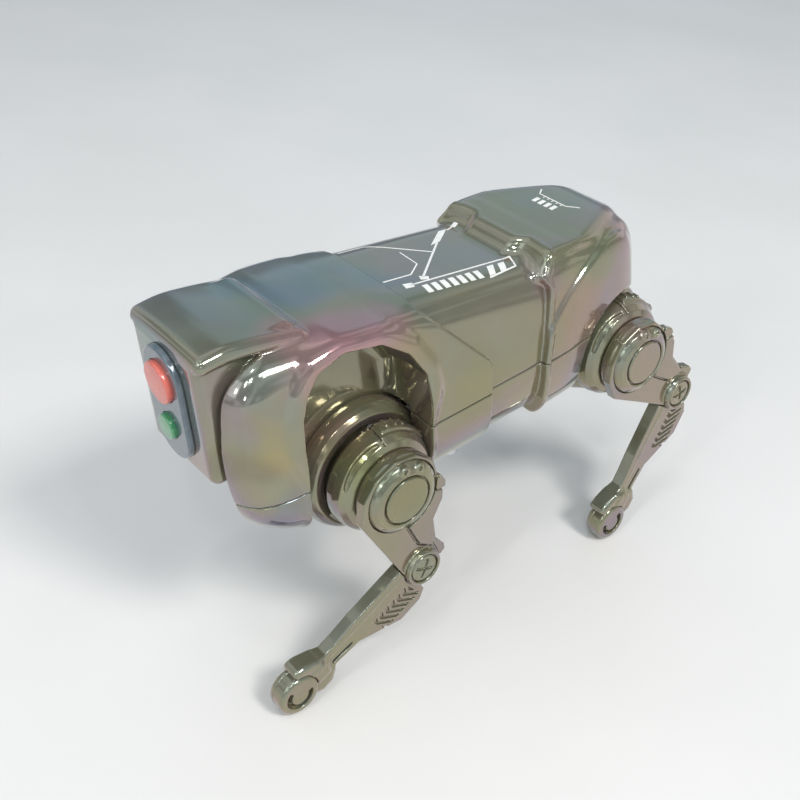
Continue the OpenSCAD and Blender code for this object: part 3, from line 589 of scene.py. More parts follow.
def calf(x, y, z):
    """In the calf's frame: origin at the knee, -z towards the foot."""
    out = poly(x, z, CALF, 0.25)
    bar_line = np.interp(z, [-24, -20, -8, 0], [-0.4, 0.2, 0.9, 1.1])
    side = smax(out, slab(y, 15.75, 18.05), 0.25)
    bar = smax(smax(out, bar_line - x, 0.15), slab(y, 15.42, 18.3), 0.25)
    # round the front corners of the bar
    fr = np.interp(z, [-CL, -23, -20.6, -18, -14, -8, -2.4], [4.0, 2.7, 1.6, 1.7, 2.2, 2.6, 2.9])
    bar = smax(bar, ((x - fr) + np.abs(y - 16.85) * 1.0 - 0.75) * 0.75, 1.3)
    d = smin(side, bar, 0.12)
    # cup over the foot
    cup = smax(poly(x, z, [[1.6, -20.8], [2.5, -22.4], [3.9, -CL + 3.2], [4.1, -CL + 1.3], [-3.4, -CL + 1.6], [-4.4, -CL + 3.2], [-4.3, -22.2], [-2.4, -20.4]], 0.7), slab(y, 15.42, 18.5), 0.9)
    d = smin(d, cup, 0.6)
    nose = smax(seg(x, z, (2.0, -22.6), (3.4, -CL + 2.2)) - 0.75, slab(y, 15.6, 18.75), 0.7)
    d = smin(d, nose, 0.8)
    # web that runs into the boss of the foot
    web = smax(poly(x, z, [[-1.5, -21.5], [1.3, -21.5], [1.5, -CL + 2.2], [-1.5, -CL + 2.2]], 0.5), slab(y, 16, 18.95), 0.6)
    d = smin(d, web, 0.7)
    d = smin(d, smax(np.hypot(x, z) - 2.9, slab(y, 15.42, 16.12), 0.2), 0.2)
    # pocket with six slanted ribs
    t = -z - 0.28 * x
    pocket = smax(smax(slab(t, 4.2, 12.2), np.abs(x + 2.9 + 0.05 * t) - 1.95, 0.4), 17.62 - y, 0.2)
    ph = (t + 0.55 * np.abs(x + 2.6) - 4.4) % 1.28 - 0.64
    ribs = np.maximum(np.abs(ph) - 0.3, slab(y, 17.3, 18.05))
    d = smax(d, -smax(pocket, -ribs, 0.12), 0.12)
    # notch and thin rail above the ankle
    d = smax(d, -smax(seg(x, z, (-1.35, -16.4), (-1.2, -20.2)) - 0.3, 17.2 - y, 0.1), 0.1)
    d = smax(d, -(np.hypot(x + 2.7, z + 20.2) - 0.45), 0.25)
    # knee and foot room
    d = np.maximum(d, -(np.hypot(x, z) - 0.95))
    d = smax(d, -np.maximum(np.hypot(x, z + CL) - FOOT_R - 0.05, 0 * y), 0.12)
    c, s = math.cos(-CA), math.sin(-CA)
    lx, lz = KX + x * c + z * s, KZ - x * s + z * c
    room = np.maximum(poly(lx, lz, THIGH) - 0.1, 16.12 - y)
    room = np.minimum(room, np.maximum(np.hypot(x, z) - 3.47, 16.12 - y))
    return smax(d, -room, 0.1)


def calf_local(P, vector=False):
    c, s = math.cos(-CA), math.sin(-CA)
    return np.stack([(0 if vector else KX) + P[:, 0] * c + P[:, 2] * s, P[:, 1], (0 if vector else KZ) - P[:, 0] * s + P[:, 2] * c], 1)


def foot(x, y, z):
    """Origin at the foot's centre."""
    r = np.hypot(x, z)
    d = smax(r - FOOT_R, slab(y, 15.5, 19.1), 0.9)
    ang = np.degrees(np.arctan2(x + 0 * z, z + 0 * x))        # 0 up the leg
    gate = (62 - np.abs(((ang - 20) + 180) % 360 - 180)) * np.pi / 180 * 1.9
    g = smax(smax(np.abs(r - 1.95) - 0.42, 17.7 - y, 0.35), gate, 0.4)
    d = smax(d, -g, 0.22)
    # tread step on the outer half
    d = smax(d, -smax(np.abs(y - 16.7) - 0.1, 3.5 - r, 0.1), 0.12)
    return d


def knee_screw(x, y, z):
    r = np.hypot(x, z)
    d = smax(r - 2.45, slab(y, 18.32, 18.9), 0.3)
    d = smin(d, smax(r - 1.5, slab(y, 18.4, 19.02), 0.35), 0.2)
    for a in (15, 105):
        c, s = math.cos(math.radians(a)), math.sin(math.radians(a))
        px, pz = x * c - z * s, x * s + z * c
        d = smax(d, -smax(np.maximum(np.abs(px) - 1.7, np.abs(pz) - 0.26), 18.62 - y, 0.1), 0.12)
    return np.minimum(d, np.maximum(r - 0.92, slab(y, 15.5, 18.4)))


def knob(x, y, z):
    r = np.hypot(x, z)
    ang = np.degrees(np.arctan2(x, z))
    wave = 0.32 * (0.5 + 0.5 * np.cos(np.radians(ang * 18))) ** 2
    d = smax(r - 5.2 + wave * rise(r, 3.6, 5.0), slab(y, 15.3, 18.6), 0.7)
    d = smax(d, -smax(r - 3.7, 18.2 - y, 0.4), 0.3)
    d = smin(d, smax(r - 1.9, slab(y, 17.6, 18.55), 0.3), 0.3)
    d = smin(d, smax(r - 2.0, slab(y, 12.9, 15.5), 0.15), 0.3)
    return np.maximum(d, -np.maximum(r - 1.32, y - 17.5))


H_SHELL = 0.3
H_SMALL = 0.16
made = {}


def stand(o, body, slot, *nodes):
    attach(o, body)
    if nodes:
        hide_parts(*nodes)
    made.setdefault(slot, []).append(o)
    return o


stand(place_body("casing_upper", "up", upper, (-36, -16, 6.9), (52.2, 16, 33.2), H_SHELL), "torso", "plated_shell", "upper_shell")
stand(place_body("casing_lower", "lo", lower, (-36, -16, -5.6), (52, 16, 7.1), H_SHELL), "torso", "plated_shell", "lower_shell")
stand(place_body("face_badge", "pill", pill, (48.2, -5, 11.3), (52.3, 5, 30.0), 0.14), "torso", "face_grey", "face_plate")
stand(place_body("button_red", "lr", button(3.2, 24.5, 53.0), (51.3, -3.3, 21.2), (53.1, 3.3, 27.8), 0.1), "torso", "lens_red", "red_lens")
stand(place_body("button_green", "lg", button(2.0, 16.9, 52.9), (51.3, -2.1, 14.8), (53.0, 2.1, 19.0), 0.08), "torso", "lens_green", "green_lens")

rings = []
for s in (1, -1):
    for e, fld, key in ((1, ring_front_f, "rf"), (-1, ring_rear_f, "rr")):
        tag = ("front" if e > 0 else "rear") + ("_left" if s > 0 else "_right")
        o = place_body("socket_ring_" + tag, key, fld, (-11.5, 6.1, -11.5), (11.5, 9.7, 11.5), H_SMALL * 1.1, mirror=s < 0, shift=(e * HX, 0, 0))
        rings.append(stand(o, "torso", "plated_trim", *(["hip_rings"] if not rings else [])))

KEYS = {(1, 1): ("fl", "leg_front_left"), (-1, 1): ("fr", "leg_front_right"), (1, -1): ("rl", "leg_rear_left"), (-1, -1): ("rr", "leg_rear_right")}
for (s, e), (k, body) in KEYS.items():
    stand(place_body("drum_" + k, "drum", drum, (-9.9, 9.3, -9.9), (9.9, 15.3, 9.9), H_SMALL, mirror=s < 0, shift=(e * HX, 0, 0)), "torso", "plated_trim", "hip_drum_" + k)
    # the caps turn with the leg; they are drawn in the level frame as the CAD has them
    stand(place_body("cap_" + k, "cap", cap, (-6.5, 17.0, -6.5), (6.5, 19.4, 6.5), H_SMALL * 0.8, mirror=s < 0, shift=(e * HX, 0, 0)), body, "plated_trim", "hip_cap_" + k)
    stand(place_leg("upper_leg_" + k, "thigh", thigh, (-16.8, 15.2, -14.8), (7.2, 19.2, 7.2), H_SMALL, s, e), body, "plated_shell", "thigh_" + k)
    stand(place_leg("lower_leg_" + k, "calf", calf, (-7.2, 15.2, -CL + 0.6), (4.6, 19.1, 3.1), H_SMALL * 0.9, s, e, calf_local), body, "plated_shell", "calf_" + k)
    stand(place_leg("paw_" + k, "foot", foot, (-3.8, 15.3, -3.8), (3.8, 19.3, 3.8), H_SMALL * 0.8, s, e, lambda P, vector=False: P if vector else P + [0, 0, -LEG]), body, "plated_trim", "foot_" + k)
    stand(place_leg("knee_bolt_" + k, "kneescrew", knee_screw, (-2.6, 15.3, -2.6), (2.6, 19.1, 2.6), H_SMALL * 0.7, s, e, lambda P, vector=False: P if vector else P + [KX, 0, KZ]), body, "plated_trim", "knee_screw_" + k)
stand(place_body("winder_knob", "knob", knob, (-5.4, 12.7, -5.4), (5.4, 18.8, 5.4), H_SMALL, mirror=True, shift=(-8.55, 0, 8.4)), "winder", "plated_trim", "winding_knob")


# ------------------------------------------------------------------ printed marks on the deck: plain bars and lines, thin films that follow the surface
def deck_z(x, y, z0):
    z = np.full(len(x), z0)
    u = np.abs(y)
    for _ in range(12):
        v = body_plain(x, u, z)
        g = (body_plain(x, u, z + 0.02) - body_plain(x, u, z - 0.02)) / 0.04
        z = z - np.clip(v / np.maximum(g, 0.3), -0.5, 0.5)
    return z


def film(quads, z0, t=0.035):
    V, Fc = [], []
    for q in quads:
        q = np.array(q, float)
        nu = max(2, int(np.linalg.norm(q[1] - q[0]) / 0.35) + 1)
        nv = max(2, int(np.linalg.norm(q[3] - q[0]) / 0.35) + 1)
        a, b = np.linspace(0, 1, nu)[:, None, None], np.linspace(0, 1, nv)[None, :, None]
        g = ((1 - a) * (1 - b) * q[0] + a * (1 - b) * q[1] + a * b * q[2] + (1 - a) * b * q[3]).reshape(-1, 2)
        z = deck_z(g[:, 0], g[:, 1], z0)
        base = len(V)
        V += [(p[0], p[1], h + t) for p, h in zip(g, z)]
        V += [(p[0], p[1], h - 0.06) for p, h in zip(g, z)]
        n = nu * nv
        for i in range(nu - 1):
            for j in range(nv - 1):
                c = [base + i * nv + j, base + (i + 1) * nv + j, base + (i + 1) * nv + j + 1, base + i * nv + j + 1]
                Fc.append(c)
                Fc.append([k + n for k in c[::-1]])
        rim = [base + i * nv for i in range(nu)] + [base + (nu - 1) * nv + j for j in range(1, nv)] + [base + i * nv + nv - 1 for i in range(nu - 2, -1, -1)] + [base + j for j in range(nv - 2, 0, -1)]
        for i in range(len(rim)):
            p, r = rim[i], rim[(i + 1) % len(rim)]
            Fc.append([r, p, p + n, r + n])
    return np.array(V, float), np.array(Fc)


def stroke(a, b, w):
    a, b = np.array(a, float), np.array(b, float)
    d = (b - a) / np.linalg.norm(b - a)
    n = np.array([-d[1], d[0]]) * w / 2
    return [a - n, b - n, b + n, a + n]


def fix_winding(V, Fc):
    """Returns each film unchanged."""
    return V, Fc


MARKS = [
    stroke((15.87, -9.0), (10.95, -8.98), 0.24), stroke((10.95, -8.98), (2.75, -1.62), 0.24),
    stroke((7.53, -4.05), (7.79, 0.48), 0.22), stroke((7.79, 0.48), (10.92, 2.90), 0.22), stroke((10.92, 2.90), (16.2, 2.91), 0.26),
    stroke((-7.6, -8.2), (-4.72, -7.12), 0.28), [(-7.5, -8.6), (-6.22, -8.09), (-6.47, -7.24), (-7.6, -7.7)],
    [(-4.76, -7.38), (-3.19, -7.44), (1.49, -3.77), (-0.78, -4.25)], stroke((-0.06, -4.10), (9.92, 4.51), 0.34),
    [(10.27, 3.90), (10.73, 4.96), (9.57, 5.51), (9.00, 4.72)],
    [(14.16, 4.88), (14.50, 6.20), (13.02, 6.38), (12.56, 5.14)], stroke((13.13, 5.64), (-6.59, 5.77), 0.3),
    stroke((-6.59, 5.67), (-5.37, 8.44), 0.3), stroke((-5.43, 8.43), (0.65, 9.22), 0.3),
    [(-2.34, 6.53), (-1.02, 6.54), (0.42, 8.93), (-0.90, 8.78)], [(-4.52, 6.61), (-3.19, 6.62), (-2.10, 8.66), (-3.43, 8.51)],
]
# seven plain bars where the toy carries lettering
for i in range(7):
    x1, y1 = 11.9 - 1.62 * i, 6.6 + 0.04 * i
    MARKS.append([(x1, y1), (x1 - 1.0, y1 + 0.03), (x1 - 0.7, y1 + 2.08), (x1 + 0.3, y1 + 2.05)])
REAR_MARKS = [
    stroke((-24.5, -5.4), (-23.0, -4.3), 0.24), stroke((-23.0, -4.3), (-22.9, 1.8), 0.24), stroke((-22.9, 1.8), (-24.4, 3.7), 0.24),
]
for i in range(5):
    REAR_MARKS.append(stroke((-22.75, -2.9 + i * 1.0), (-22.35, -2.9 + i * 1.0), 0.2))
for i in range(4):
    y1 = -3.6 + i * 1.35
    REAR_MARKS.append([(-21.7, y1), (-20.1, y1 + 0.25), (-20.1, y1 + 1.05), (-21.7, y1 + 0.8)])


def clean_film(name, quads, z0):
    quads = [np.array(q, float) for q in quads]
    out = []
    for q in quads:
        area = 0.5 * sum(q[i][0] * q[(i + 1) % 4][1] - q[(i + 1) % 4][0] * q[i][1] for i in range(4))
        out.append(q if area > 0 else q[[0, 3, 2, 1]])
    V, Fc = film(out, z0)
    o = add_mesh(name, body_to_world(V), Fc)
    for p in o.data.polygons:
        p.use_smooth = False
    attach(o, "torso")
    return o


marks = [clean_film("deck_marks", MARKS, 24.8), clean_film("rump_marks", REAR_MARKS, 23.0)]


# ------------------------------------------------------------------ materials
def new_mat(name):
    m = bpy.data.materials.new(name)
    m.use_nodes = True
    nt = m.node_tree
    nt.nodes.clear()
    out = nt.nodes.new("ShaderNodeOutputMaterial")
    bs = nt.nodes.new("ShaderNodeBsdfPrincipled")
    nt.links.new(bs.outputs[0], out.inputs[0])
    return m, nt, bs


def node(nt, kind, **kw):
    n = nt.nodes.new(kind)
    for k, v in kw.items():
        setattr(n, k, v)
    return n


def ramp(nt, stops, interpolation="EASE"):
    r = nt.nodes.new("ShaderNodeValToRGB")
    r.color_ramp.interpolation = interpolation
    el = r.color_ramp.elements
    while len(el) > 1:
        el.remove(el[-1])
    el[0].position, el[0].color = stops[0][0], (*stops[0][1], 1)
    for p, c in stops[1:]:
        e = el.new(p)
        e.color = (*c, 1)
    return r


def srgb(r, g, b):
    return tuple((c / 255 / 12.92) if c / 255 <= 0.04045 else ((c / 255 + 0.055) / 1.055) ** 2.4 for c in (r, g, b))


# painted reflection and shade, partly the plating's own colour shift, laid on fixed spots: centre and radius in the
# body frame (mm), colour, weight
PLATING_AND_REFLECTION_PATCHES = [
    ((42, -1, 31.5), 19.5, srgb(104, 124, 118), 0.45), ((47.5, 5, 31.5), 8.5, srgb(136, 122, 98), 0.36), ((36, -7, 30), 7.8, srgb(96, 120, 146), 0.42),
    ((30, -1, 28.8), 7.8, srgb(92, 112, 140), 0.42), ((22, -4, 27.6), 11.7, srgb(108, 134, 104), 0.39), ((17, 5, 26.6), 10.4, srgb(112, 124, 112), 0.36),
    ((36, 12, 27.5), 8.5, srgb(176, 128, 132), 0.51), ((29, 12.6, 27.6), 7.8, srgb(178, 128, 142), 0.54), ((23.5, 12.4, 26.2), 7.2, srgb(172, 130, 140), 0.51),
    ((18.5, 13.4, 22), 5.9, srgb(150, 134, 96), 0.42), ((45.5, 13, 17.5), 5.9, srgb(160, 138, 78), 0.45), ((48.5, 10.5, 15), 5.9, srgb(112, 94, 84), 0.42),
    ((43, 13.5, 3.5), 7.8, srgb(84, 100, 138), 0.42), ((49, 10, 24), 5.9, srgb(150, 124, 134), 0.36), ((33, 9, 8.5), 7.2, srgb(150, 114, 106), 0.39),
    ((31, 14, 6), 5.9, srgb(116, 124, 62), 0.42), ((22, 14, 6.5), 6.5, srgb(122, 110, 84), 0.30), ((26, 19, 0), 6.5, srgb(112, 114, 68), 0.36),
    ((9, 14.3, 9), 9.1, srgb(132, 130, 82), 0.33), ((3, 13.4, 19), 6.5, srgb(140, 132, 122), 0.30), ((0, 2, 23.6), 11.7, srgb(126, 130, 128), 0.36),
    ((-8, 12, 19), 6.5, srgb(152, 122, 132), 0.36), ((-13, 14, 12), 7.8, srgb(158, 124, 108), 0.33), ((-22, 2, 24.3), 13, srgb(136, 126, 120), 0.42),
    ((-19, 12, 20), 6.5, srgb(104, 126, 88), 0.42), ((-30, 8, 20), 7.8, srgb(156, 124, 138), 0.42), ((-26, 14, 7), 6.5, srgb(150, 116, 112), 0.36),
    ((-20, 12, 4), 6.5, srgb(120, 124, 70), 0.30), ((26, -12, 27), 10.4, srgb(96, 118, 140), 0.36), ((-20, -11, 21), 10.4, srgb(104, 122, 132), 0.36),
    ((50, 0, 12), 9.1, srgb(126, 118, 88), 0.30), ((-34, -6, 12), 9.1, srgb(104, 120, 138), 0.30), ((10, -13, 16), 10.4, srgb(140, 122, 136), 0.30),
]


def plated(name, base, seed, tint=1.0, rough=0.08):
    """Vacuum-metallised, lacquered plastic: olive grey metal under a thin coat whose thickness wanders, with painted
    reflection and shade laid on as hue patches at fixed spots and as a hue shift on up-facing surfaces.
    """
    m, nt, bs = new_mat(name)
    tc = node(nt, "ShaderNodeTexCoord")
    mp = node(nt, "ShaderNodeMapping")
    mp.inputs["Location"].default_value = (seed * 0.37, seed * 0.11, seed * 0.23)
    mp.inputs["Scale"].default_value = (38, 52, 44)
    nt.links.new(tc.outputs["Object"], mp.inputs[0])
    n1 = node(nt, "ShaderNodeTexNoise")
    n1.inputs["Scale"].default_value = 1.0
    n1.inputs["Detail"].default_value = 1.5
    n1.inputs["Roughness"].default_value = 0.4
    n1.inputs["Distortion"].default_value = 0.6
    nt.links.new(mp.outputs[0], n1.inputs["Vector"])
    lw = node(nt, "ShaderNodeLayerWeight")
    lw.inputs["Blend"].default_value = 0.38
    # how thick the coat is: grows where the plating pooled and towards grazing view; its shift on up-facing surfaces
    # is painted reflection of the room above, not thickness
    geo = node(nt, "ShaderNodeNewGeometry")
    sep = node(nt, "ShaderNodeSeparateXYZ")
    nt.links.new(geo.outputs["Normal"], sep.inputs[0])
    a1 = node(nt, "ShaderNodeMath", operation="MULTIPLY_ADD")
    nt.links.new(n1.outputs["Fac"], a1.inputs[0])
    a1.inputs[1].default_value = 0.9
    nt.links.new(lw.outputs["Facing"], a1.inputs[2])
    # painted reflection: up-facing surfaces are pushed towards the blue-green that the roof shows from the ceiling
    a2 = node(nt, "ShaderNodeMath", operation="MULTIPLY_ADD")
    nt.links.new(sep.outputs["Z"], a2.inputs[0])
    a2.inputs[1].default_value = -0.12
    nt.links.new(a1.outputs[0], a2.inputs[2])
    hue = ramp(nt, [
        (0.00, srgb(112, 132, 142)), (0.20, srgb(116, 130, 122)), (0.32, srgb(124, 126, 106)), (0.44, srgb(134, 132, 96)),
        (0.54, srgb(150, 128, 112)), (0.62, srgb(146, 116, 138)), (0.70, srgb(108, 126, 134)), (0.78, srgb(112, 136, 92)),
        (0.88, srgb(150, 134, 88)), (1.0, srgb(124, 118, 150))])
    sc = node(nt, "ShaderNodeMath", operation="MULTIPLY")
    nt.links.new(a2.outputs[0], sc.inputs[0])
    sc.inputs[1].default_value = 0.62
    nt.links.new(sc.outputs[0], hue.inputs[0])
    mix = node(nt, "ShaderNodeMix", data_type="RGBA")
    mix.inputs["Factor"].default_value = 0.5 * tint
    mix.inputs["A"].default_value = (*base, 1)
    nt.links.new(hue.outputs[0], mix.inputs["B"])
    # broad patches of painted reflection and shade, partly the plating's own colour shift
    wob = node(nt, "ShaderNodeTexNoise")
    wob.inputs["Scale"].default_value = 90.0
    wob.inputs["Detail"].default_value = 1.0
    nt.links.new(tc.outputs["Object"], wob.inputs["Vector"])
    wv = node(nt, "ShaderNodeVectorMath", operation="MULTIPLY_ADD")
    nt.links.new(wob.outputs["Color"], wv.inputs[0])
    wv.inputs[1].default_value = (0.012, 0.012, 0.012)
    nt.links.new(tc.outputs["Object"], wv.inputs[2])
    cur = mix
    # each patch mixes a painted reflection or shade colour into the base colour around a fixed point
    for centre, rad, col, amount in PLATING_AND_REFLECTION_PATCHES:
        c = body_to_world(np.array([centre], float))[0] * 0.001 + 0.006
        dn = node(nt, "ShaderNodeVectorMath", operation="DISTANCE")
        nt.links.new(wv.outputs[0], dn.inputs[0])
        dn.inputs[1].default_value = (float(c[0]), float(c[1]), float(c[2]))
        fm = node(nt, "ShaderNodeMapRange", interpolation_type="SMOOTHSTEP")
        fm.inputs["From Min"].default_value = rad * 0.0003
        fm.inputs["From Max"].default_value = rad * 0.001
        fm.inputs["To Min"].default_value = amount
        fm.inputs["To Max"].default_value = 0.0
        nt.links.new(dn.outputs["Value"], fm.inputs["Value"])
        mz = node(nt, "ShaderNodeMix", data_type="RGBA")
        nt.links.new(fm.outputs[0], mz.inputs["Factor"])
        nt.links.new(cur.outputs["Result"], mz.inputs["A"])
        mz.inputs["B"].default_value = (*col, 1)
        cur = mz
    # fine tone drift of the plating
    n2 = node(nt, "ShaderNodeTexNoise")
    n2.inputs["Scale"].default_value = 420.0
    n2.inputs["Detail"].default_value = 3.0
    nt.links.new(tc.outputs["Object"], n2.inputs["Vector"])
    r2 = node(nt, "ShaderNodeMapRange")
    r2.inputs["To Min"].default_value = 0.95
    r2.inputs["To Max"].default_value = 1.04
    nt.links.new(n2.outputs["Fac"], r2.inputs["Value"])
    mul = node(nt, "ShaderNodeMix", data_type="RGBA", blend_type="MULTIPLY")
    mul.inputs["Factor"].default_value = 1.0
    nt.links.new(cur.outputs["Result"], mul.inputs["A"])
    nt.links.new(r2.outputs[0], mul.inputs["B"])
    nt.links.new(mul.outputs["Result"], bs.inputs["Base Color"])
    bs.inputs["Metallic"].default_value = 0.62
    # roughness: smooth lacquer with slightly duller patches
    r3 = node(nt, "ShaderNodeMapRange")
    r3.inputs["From Min"].default_value = 0.3
    r3.inputs["From Max"].default_value = 0.7
    r3.inputs["To Min"].default_value = rough
    r3.inputs["To Max"].default_value = rough + 0.07
    nt.links.new(n2.outputs["Fac"], r3.inputs["Value"])
    nt.links.new(r3.outputs[0], bs.inputs["Roughness"])
    bs.inputs["Coat Weight"].default_value = 0.8
    bs.inputs["Coat Roughness"].default_value = 0.02
    bs.inputs["Coat IOR"].default_value = 1.5
    if "Thin Film Thickness" in bs.inputs:
        th = node(nt, "ShaderNodeMapRange")
        th.inputs["From Min"].default_value = 0.25
        th.inputs["From Max"].default_value = 0.8
        th.inputs["To Min"].default_value = 260.0
        th.inputs["To Max"].default_value = 520.0
        nt.links.new(n1.outputs["Fac"], th.inputs["Value"])
        nt.links.new(th.outputs[0], bs.inputs["Thin Film Thickness"])
        bs.inputs["Thin Film IOR"].default_value = 1.33
    # faint orange peel of the lacquer
    n3 = node(nt, "ShaderNodeTexNoise")
    n3.inputs["Scale"].default_value = 260.0
    n3.inputs["Detail"].default_value = 1.0
    nt.links.new(tc.outputs["Object"], n3.inputs["Vector"])
    bp = node(nt, "ShaderNodeBump")
    bp.inputs["Strength"].default_value = 0.05
    bp.inputs["Distance"].default_value = 0.0002
    nt.links.new(n3.outputs["Fac"], bp.inputs["Height"])
    nt.links.new(bp.outputs[0], bs.inputs["Normal"])
    nt.links.new(bp.outputs[0], bs.inputs["Coat Normal"])
    return m


def simple(name, c1, c2, metallic, rough, scale=300.0, coat=0.0, bump=0.05):
    m, nt, bs = new_mat(name)
    tc = node(nt, "ShaderNodeTexCoord")
    n = node(nt, "ShaderNodeTexNoise")
    n.inputs["Scale"].default_value = scale
    n.inputs["Detail"].default_value = 4.0
    nt.links.new(tc.outputs["Object"], n.inputs["Vector"])
    r = ramp(nt, [(0.35, c1), (0.68, c2)])
    nt.links.new(n.outputs["Fac"], r.inputs[0])
    nt.links.new(r.outputs[0], bs.inputs["Base Color"])
    q = node(nt, "ShaderNodeMapRange")
    q.inputs["To Min"].default_value = max(0.03, rough - 0.05)
    q.inputs["To Max"].default_value = rough + 0.06
    nt.links.new(n.outputs["Fac"], q.inputs["Value"])
    nt.links.new(q.outputs[0], bs.inputs["Roughness"])
    bs.inputs["Metallic"].default_value = metallic
    bs.inputs["Coat Weight"].default_value = coat
    bs.inputs["Coat Roughness"].default_value = 0.05
    b = node(nt, "ShaderNodeBump")
    b.inputs["Strength"].default_value = bump
    b.inputs["Distance"].default_value = 0.0001
    nt.links.new(n.outputs["Fac"], b.inputs["Height"])
    nt.links.new(b.outputs[0], bs.inputs["Normal"])
    return m


OLIVE = srgb(139, 137, 118)
mats = {
    "plated_shell": plated("plated_olive", OLIVE, 1.0),
    "plated_trim": plated("plated_olive_trim", srgb(137, 135, 114), 4.0, 1.0, 0.09),
    # the face badge is plated like the body; its dark blue-grey is painted reflection of the bluish room
    "face_grey": simple("face_badge_painted_blue_reflection", srgb(84, 98, 108), srgb(96, 108, 118), 0.3, 0.2, 500, 0.7),
    "lens_red": simple("button_salmon", srgb(200, 96, 84), srgb(210, 110, 96), 0.0, 0.25, 400, 0.5),
    "lens_green": simple("button_emerald", srgb(62, 138, 92), srgb(76, 150, 102), 0.0, 0.2, 400, 0.7),
    "nylon_white": simple("nylon_white", srgb(228, 226, 218), srgb(236, 235, 230), 0.0, 0.42, 300),
    "steel": simple("bright_steel", srgb(176, 178, 182), srgb(198, 200, 204), 1.0, 0.22, 900),
    "brass": simple("pressed_brass", srgb(188, 158, 92), srgb(206, 176, 108), 1.0, 0.26, 900),
}
print_white = simple("print_white", srgb(226, 227, 224), srgb(236, 237, 234), 0.0, 0.4, 700, 0.3)


def paint(o, m):
    o.data.materials.clear()
    o.data.materials.append(m)


for slot_name, objs in made.items():
    for o in objs:
        paint(o, mats[slot_name])
for o in marks:
    paint(o, print_white)
slot_of = {}
for entry in frame["record"].get("materials", []):
    for n in entry.get("nodes", []) or []:
        slot_of[n] = entry.get("slot")
STEEL = ("shell_screws", "frame_pillars", "mainspring", "winding_arbor", "crank_shaft", "escape_anchor", "axle_")
BRASS = ("ratchet_wheel", "click_pawl")
for n, o in frame["nodes"].items():
    which = slot_of.get(n)
    if which not in mats:
        which = "steel" if n.startswith(STEEL) else "brass" if n.startswith(BRASS) else "nylon_white"
    if n.startswith(("upper_shell", "lower_shell", "thigh", "calf")):
        which = "plated_shell"
    elif n.startswith(("hip_", "foot", "knee_screw", "winding_knob")):
        which = "plated_trim"
    # the CAD mesh keeps its geometry: only the material of its slots changes
    if o.data.materials:
        for i in range(len(o.data.materials)):
            o.data.materials[i] = mats[which]
    else:
        o.data.materials.append(mats[which])

# ------------------------------------------------------------------ table, light, camera
fl = bpy.data.meshes.new("table_top")
S = 1.6
n = 48
vs, fs = [], []
for i in range(n + 1):
    for j in range(n + 1):
        vs.append((-S + 2 * S * i / n, -S + 2 * S * j / n, 0.0))
for i in range(n):
    for j in range(n):
        a = i * (n + 1) + j
        fs.append((a, a + n + 1, a + n + 2, a + 1))
fl.from_pydata(vs, [], fs)
floor = bpy.data.objects.new("table_top", fl)
bpy.context.scene.collection.objects.link(floor)
fm, nt, bs = new_mat("pale_table")
tc = node(nt, "ShaderNodeTexCoord")
nn = node(nt, "ShaderNodeTexNoise")
nn.inputs["Scale"].default_value = 14.0
nn.inputs["Detail"].default_value = 5.0
nt.links.new(tc.outputs["Object"], nn.inputs["Vector"])
rr = ramp(nt, [(0.3, srgb(223, 223, 221)), (0.7, srgb(228, 227, 226))])
nt.links.new(nn.outputs["Fac"], rr.inputs[0])
nt.links.new(rr.outputs[0], bs.inputs["Base Color"])
bs.inputs["Roughness"].default_value = 0.42
bs.inputs["Specular IOR Level"].default_value = 0.35
fl.materials.append(fm)

w = bpy.data.worlds.new("studio")
bpy.context.scene.world = w
w.use_nodes = True
nt = w.node_tree
nt.nodes.clear()
wo = node(nt, "ShaderNodeOutputWorld")
bg = node(nt, "ShaderNodeBackground")
tc = node(nt, "ShaderNodeTexCoord")
sp = node(nt, "ShaderNodeSeparateXYZ")
nt.links.new(tc.outputs["Generated"], sp.inputs[0])
mr = node(nt, "ShaderNodeMapRange")
mr.inputs["From Min"].default_value = -0.1
mr.inputs["From Max"].default_value = 0.9
nt.links.new(sp.outputs["Z"], mr.inputs["Value"])
wr = ramp(nt, [(0.0, srgb(214, 216, 218)), (0.3, srgb(222, 226, 230)), (0.62, srgb(206, 209, 212)), (1.0, srgb(190, 192, 196))])
nt.links.new(mr.outputs[0], wr.inputs[0])
wall = node(nt, "ShaderNodeVectorMath", operation="DOT_PRODUCT")
nt.links.new(tc.outputs["Generated"], wall.inputs[0])
wall.inputs[1].default_value = (-0.56, -0.74, 0.38)
wf = node(nt, "ShaderNodeMapRange", interpolation_type="SMOOTHSTEP")
wf.inputs["From Min"].default_value = 0.72
wf.inputs["From Max"].default_value = 0.93
wf.inputs["To Max"].default_value = 0.6
nt.links.new(wall.outputs["Value"], wf.inputs["Value"])
wm = node(nt, "ShaderNodeMix", data_type="RGBA")
nt.links.new(wf.outputs[0], wm.inputs["Factor"])
nt.links.new(wr.outputs[0], wm.inputs["A"])
wm.inputs["B"].default_value = (*srgb(116, 178, 208), 1)
room = node(nt, "ShaderNodeTexNoise")
room.inputs["Scale"].default_value = 2.6
room.inputs["Detail"].default_value = 1.5
room.inputs["Roughness"].default_value = 0.4
nt.links.new(tc.outputs["Generated"], room.inputs["Vector"])
rm = node(nt, "ShaderNodeMapRange", interpolation_type="SMOOTHSTEP")
rm.inputs["From Min"].default_value = 0.42
rm.inputs["From Max"].default_value = 0.58
rm.inputs["To Min"].default_value = 0.42
rm.inputs["To Max"].default_value = 1.08
nt.links.new(room.outputs["Fac"], rm.inputs["Value"])
nt.links.new(wm.outputs["Result"], bg.inputs["Color"])
nt.links.new(rm.outputs[0], bg.inputs["Strength"])
nt.links.new(bg.outputs[0], wo.inputs[0])


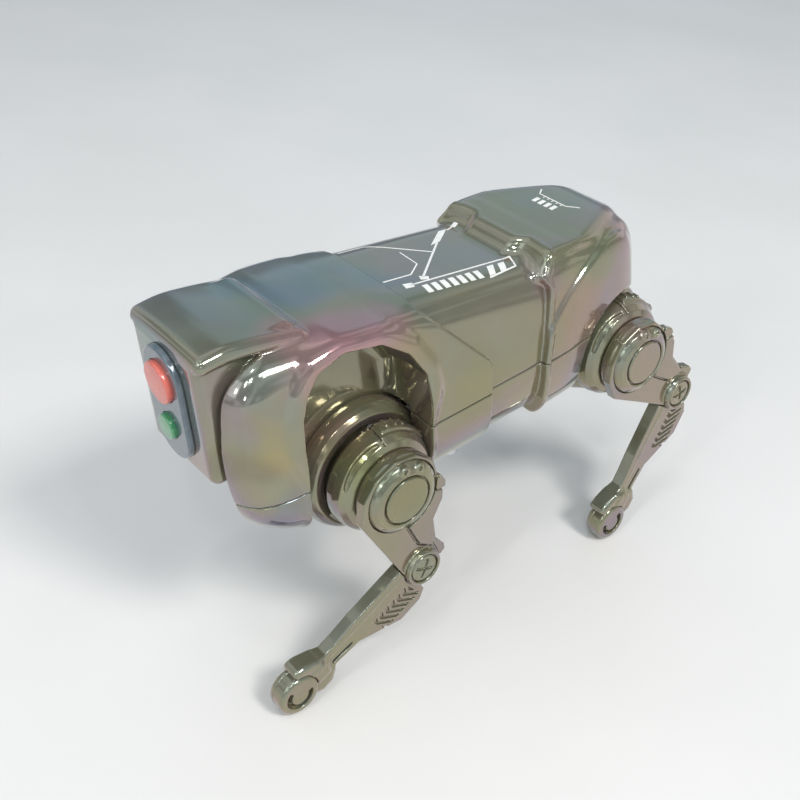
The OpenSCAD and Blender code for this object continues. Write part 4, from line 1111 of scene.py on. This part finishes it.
def lamp(name, loc, target, size, power, color=(1, 1, 1), size_y=None):
    d = bpy.data.lights.new(name, "AREA")
    d.energy = power
    d.color = color
    d.size = size
    if size_y:
        d.shape = "RECTANGLE"
        d.size_y = size_y
    o = bpy.data.objects.new(name, d)
    o.location = loc
    o.rotation_mode = "QUATERNION"
    o.rotation_quaternion = (Vector(target) - Vector(loc)).to_track_quat("-Z", "Y")
    bpy.context.scene.collection.objects.link(o)
    return o


lamp("key_window", (-0.06, 0.62, 0.72), (0, 0, 0.03), 0.2, 4.5, (1.0, 0.98, 0.95))
lamp("ceiling", (0.35, -0.25, 1.0), (0, 0, 0.03), 1.1, 1.8, (0.99, 0.99, 1.0))
lamp("window_side", (0.75, 0.1, 0.55), (0, 0, 0.03), 0.5, 1.0, (0.95, 0.98, 1.0))
for k, (px, py, pz, size, power) in enumerate(((0.32, 0.42, 0.62, 0.035, 0.5), (0.42, 0.36, 0.58, 0.03, 0.4), (0.10, 0.5, 0.66, 0.035, 0.4), (0.6, 0.2, 0.45, 0.04, 0.35), (0.2, 0.1, 0.75, 0.03, 0.3), (0.5, 0.62, 0.3, 0.05, 0.3))):
    lamp("pane_%d" % k, (px, py, pz), (0.01, 0, 0.04), size, power, (1, 1, 1), size * 2.2)

# camera: fitted to the photograph
a, e, roll = math.radians(143.21), math.radians(37.52), math.radians(-3.14)
dist, target = 180.63, np.array([[13.44, 1.80, 2.39]])
back = np.array([math.sin(a) * math.cos(e), -math.cos(a) * math.cos(e), math.sin(e)])
right = np.array([math.cos(a), math.sin(a), 0.0])
up = np.cross(back, right)
r2 = math.cos(roll) * right + math.sin(roll) * up
u2 = -math.sin(roll) * right + math.cos(roll) * up
axes = turn_body(np.array([r2, u2, back]))
pos = body_to_world(target + back * dist)[0] * 0.001
cd = bpy.data.cameras.new("photo_camera")
cd.sensor_width = 36
cd.lens = 36 * 1114.62 / 800
cd.clip_start = 0.01
cam = bpy.data.objects.new("photo_camera", cd)
m4 = Matrix.Identity(4)
for i in range(3):
    for j in range(3):
        m4[i][j] = float(axes[j][i])
    m4[i][3] = float(pos[i])
cam.matrix_world = m4
bpy.context.scene.collection.objects.link(cam)
bpy.context.scene.camera = cam
bpy.context.scene.view_settings.view_transform = "Standard"
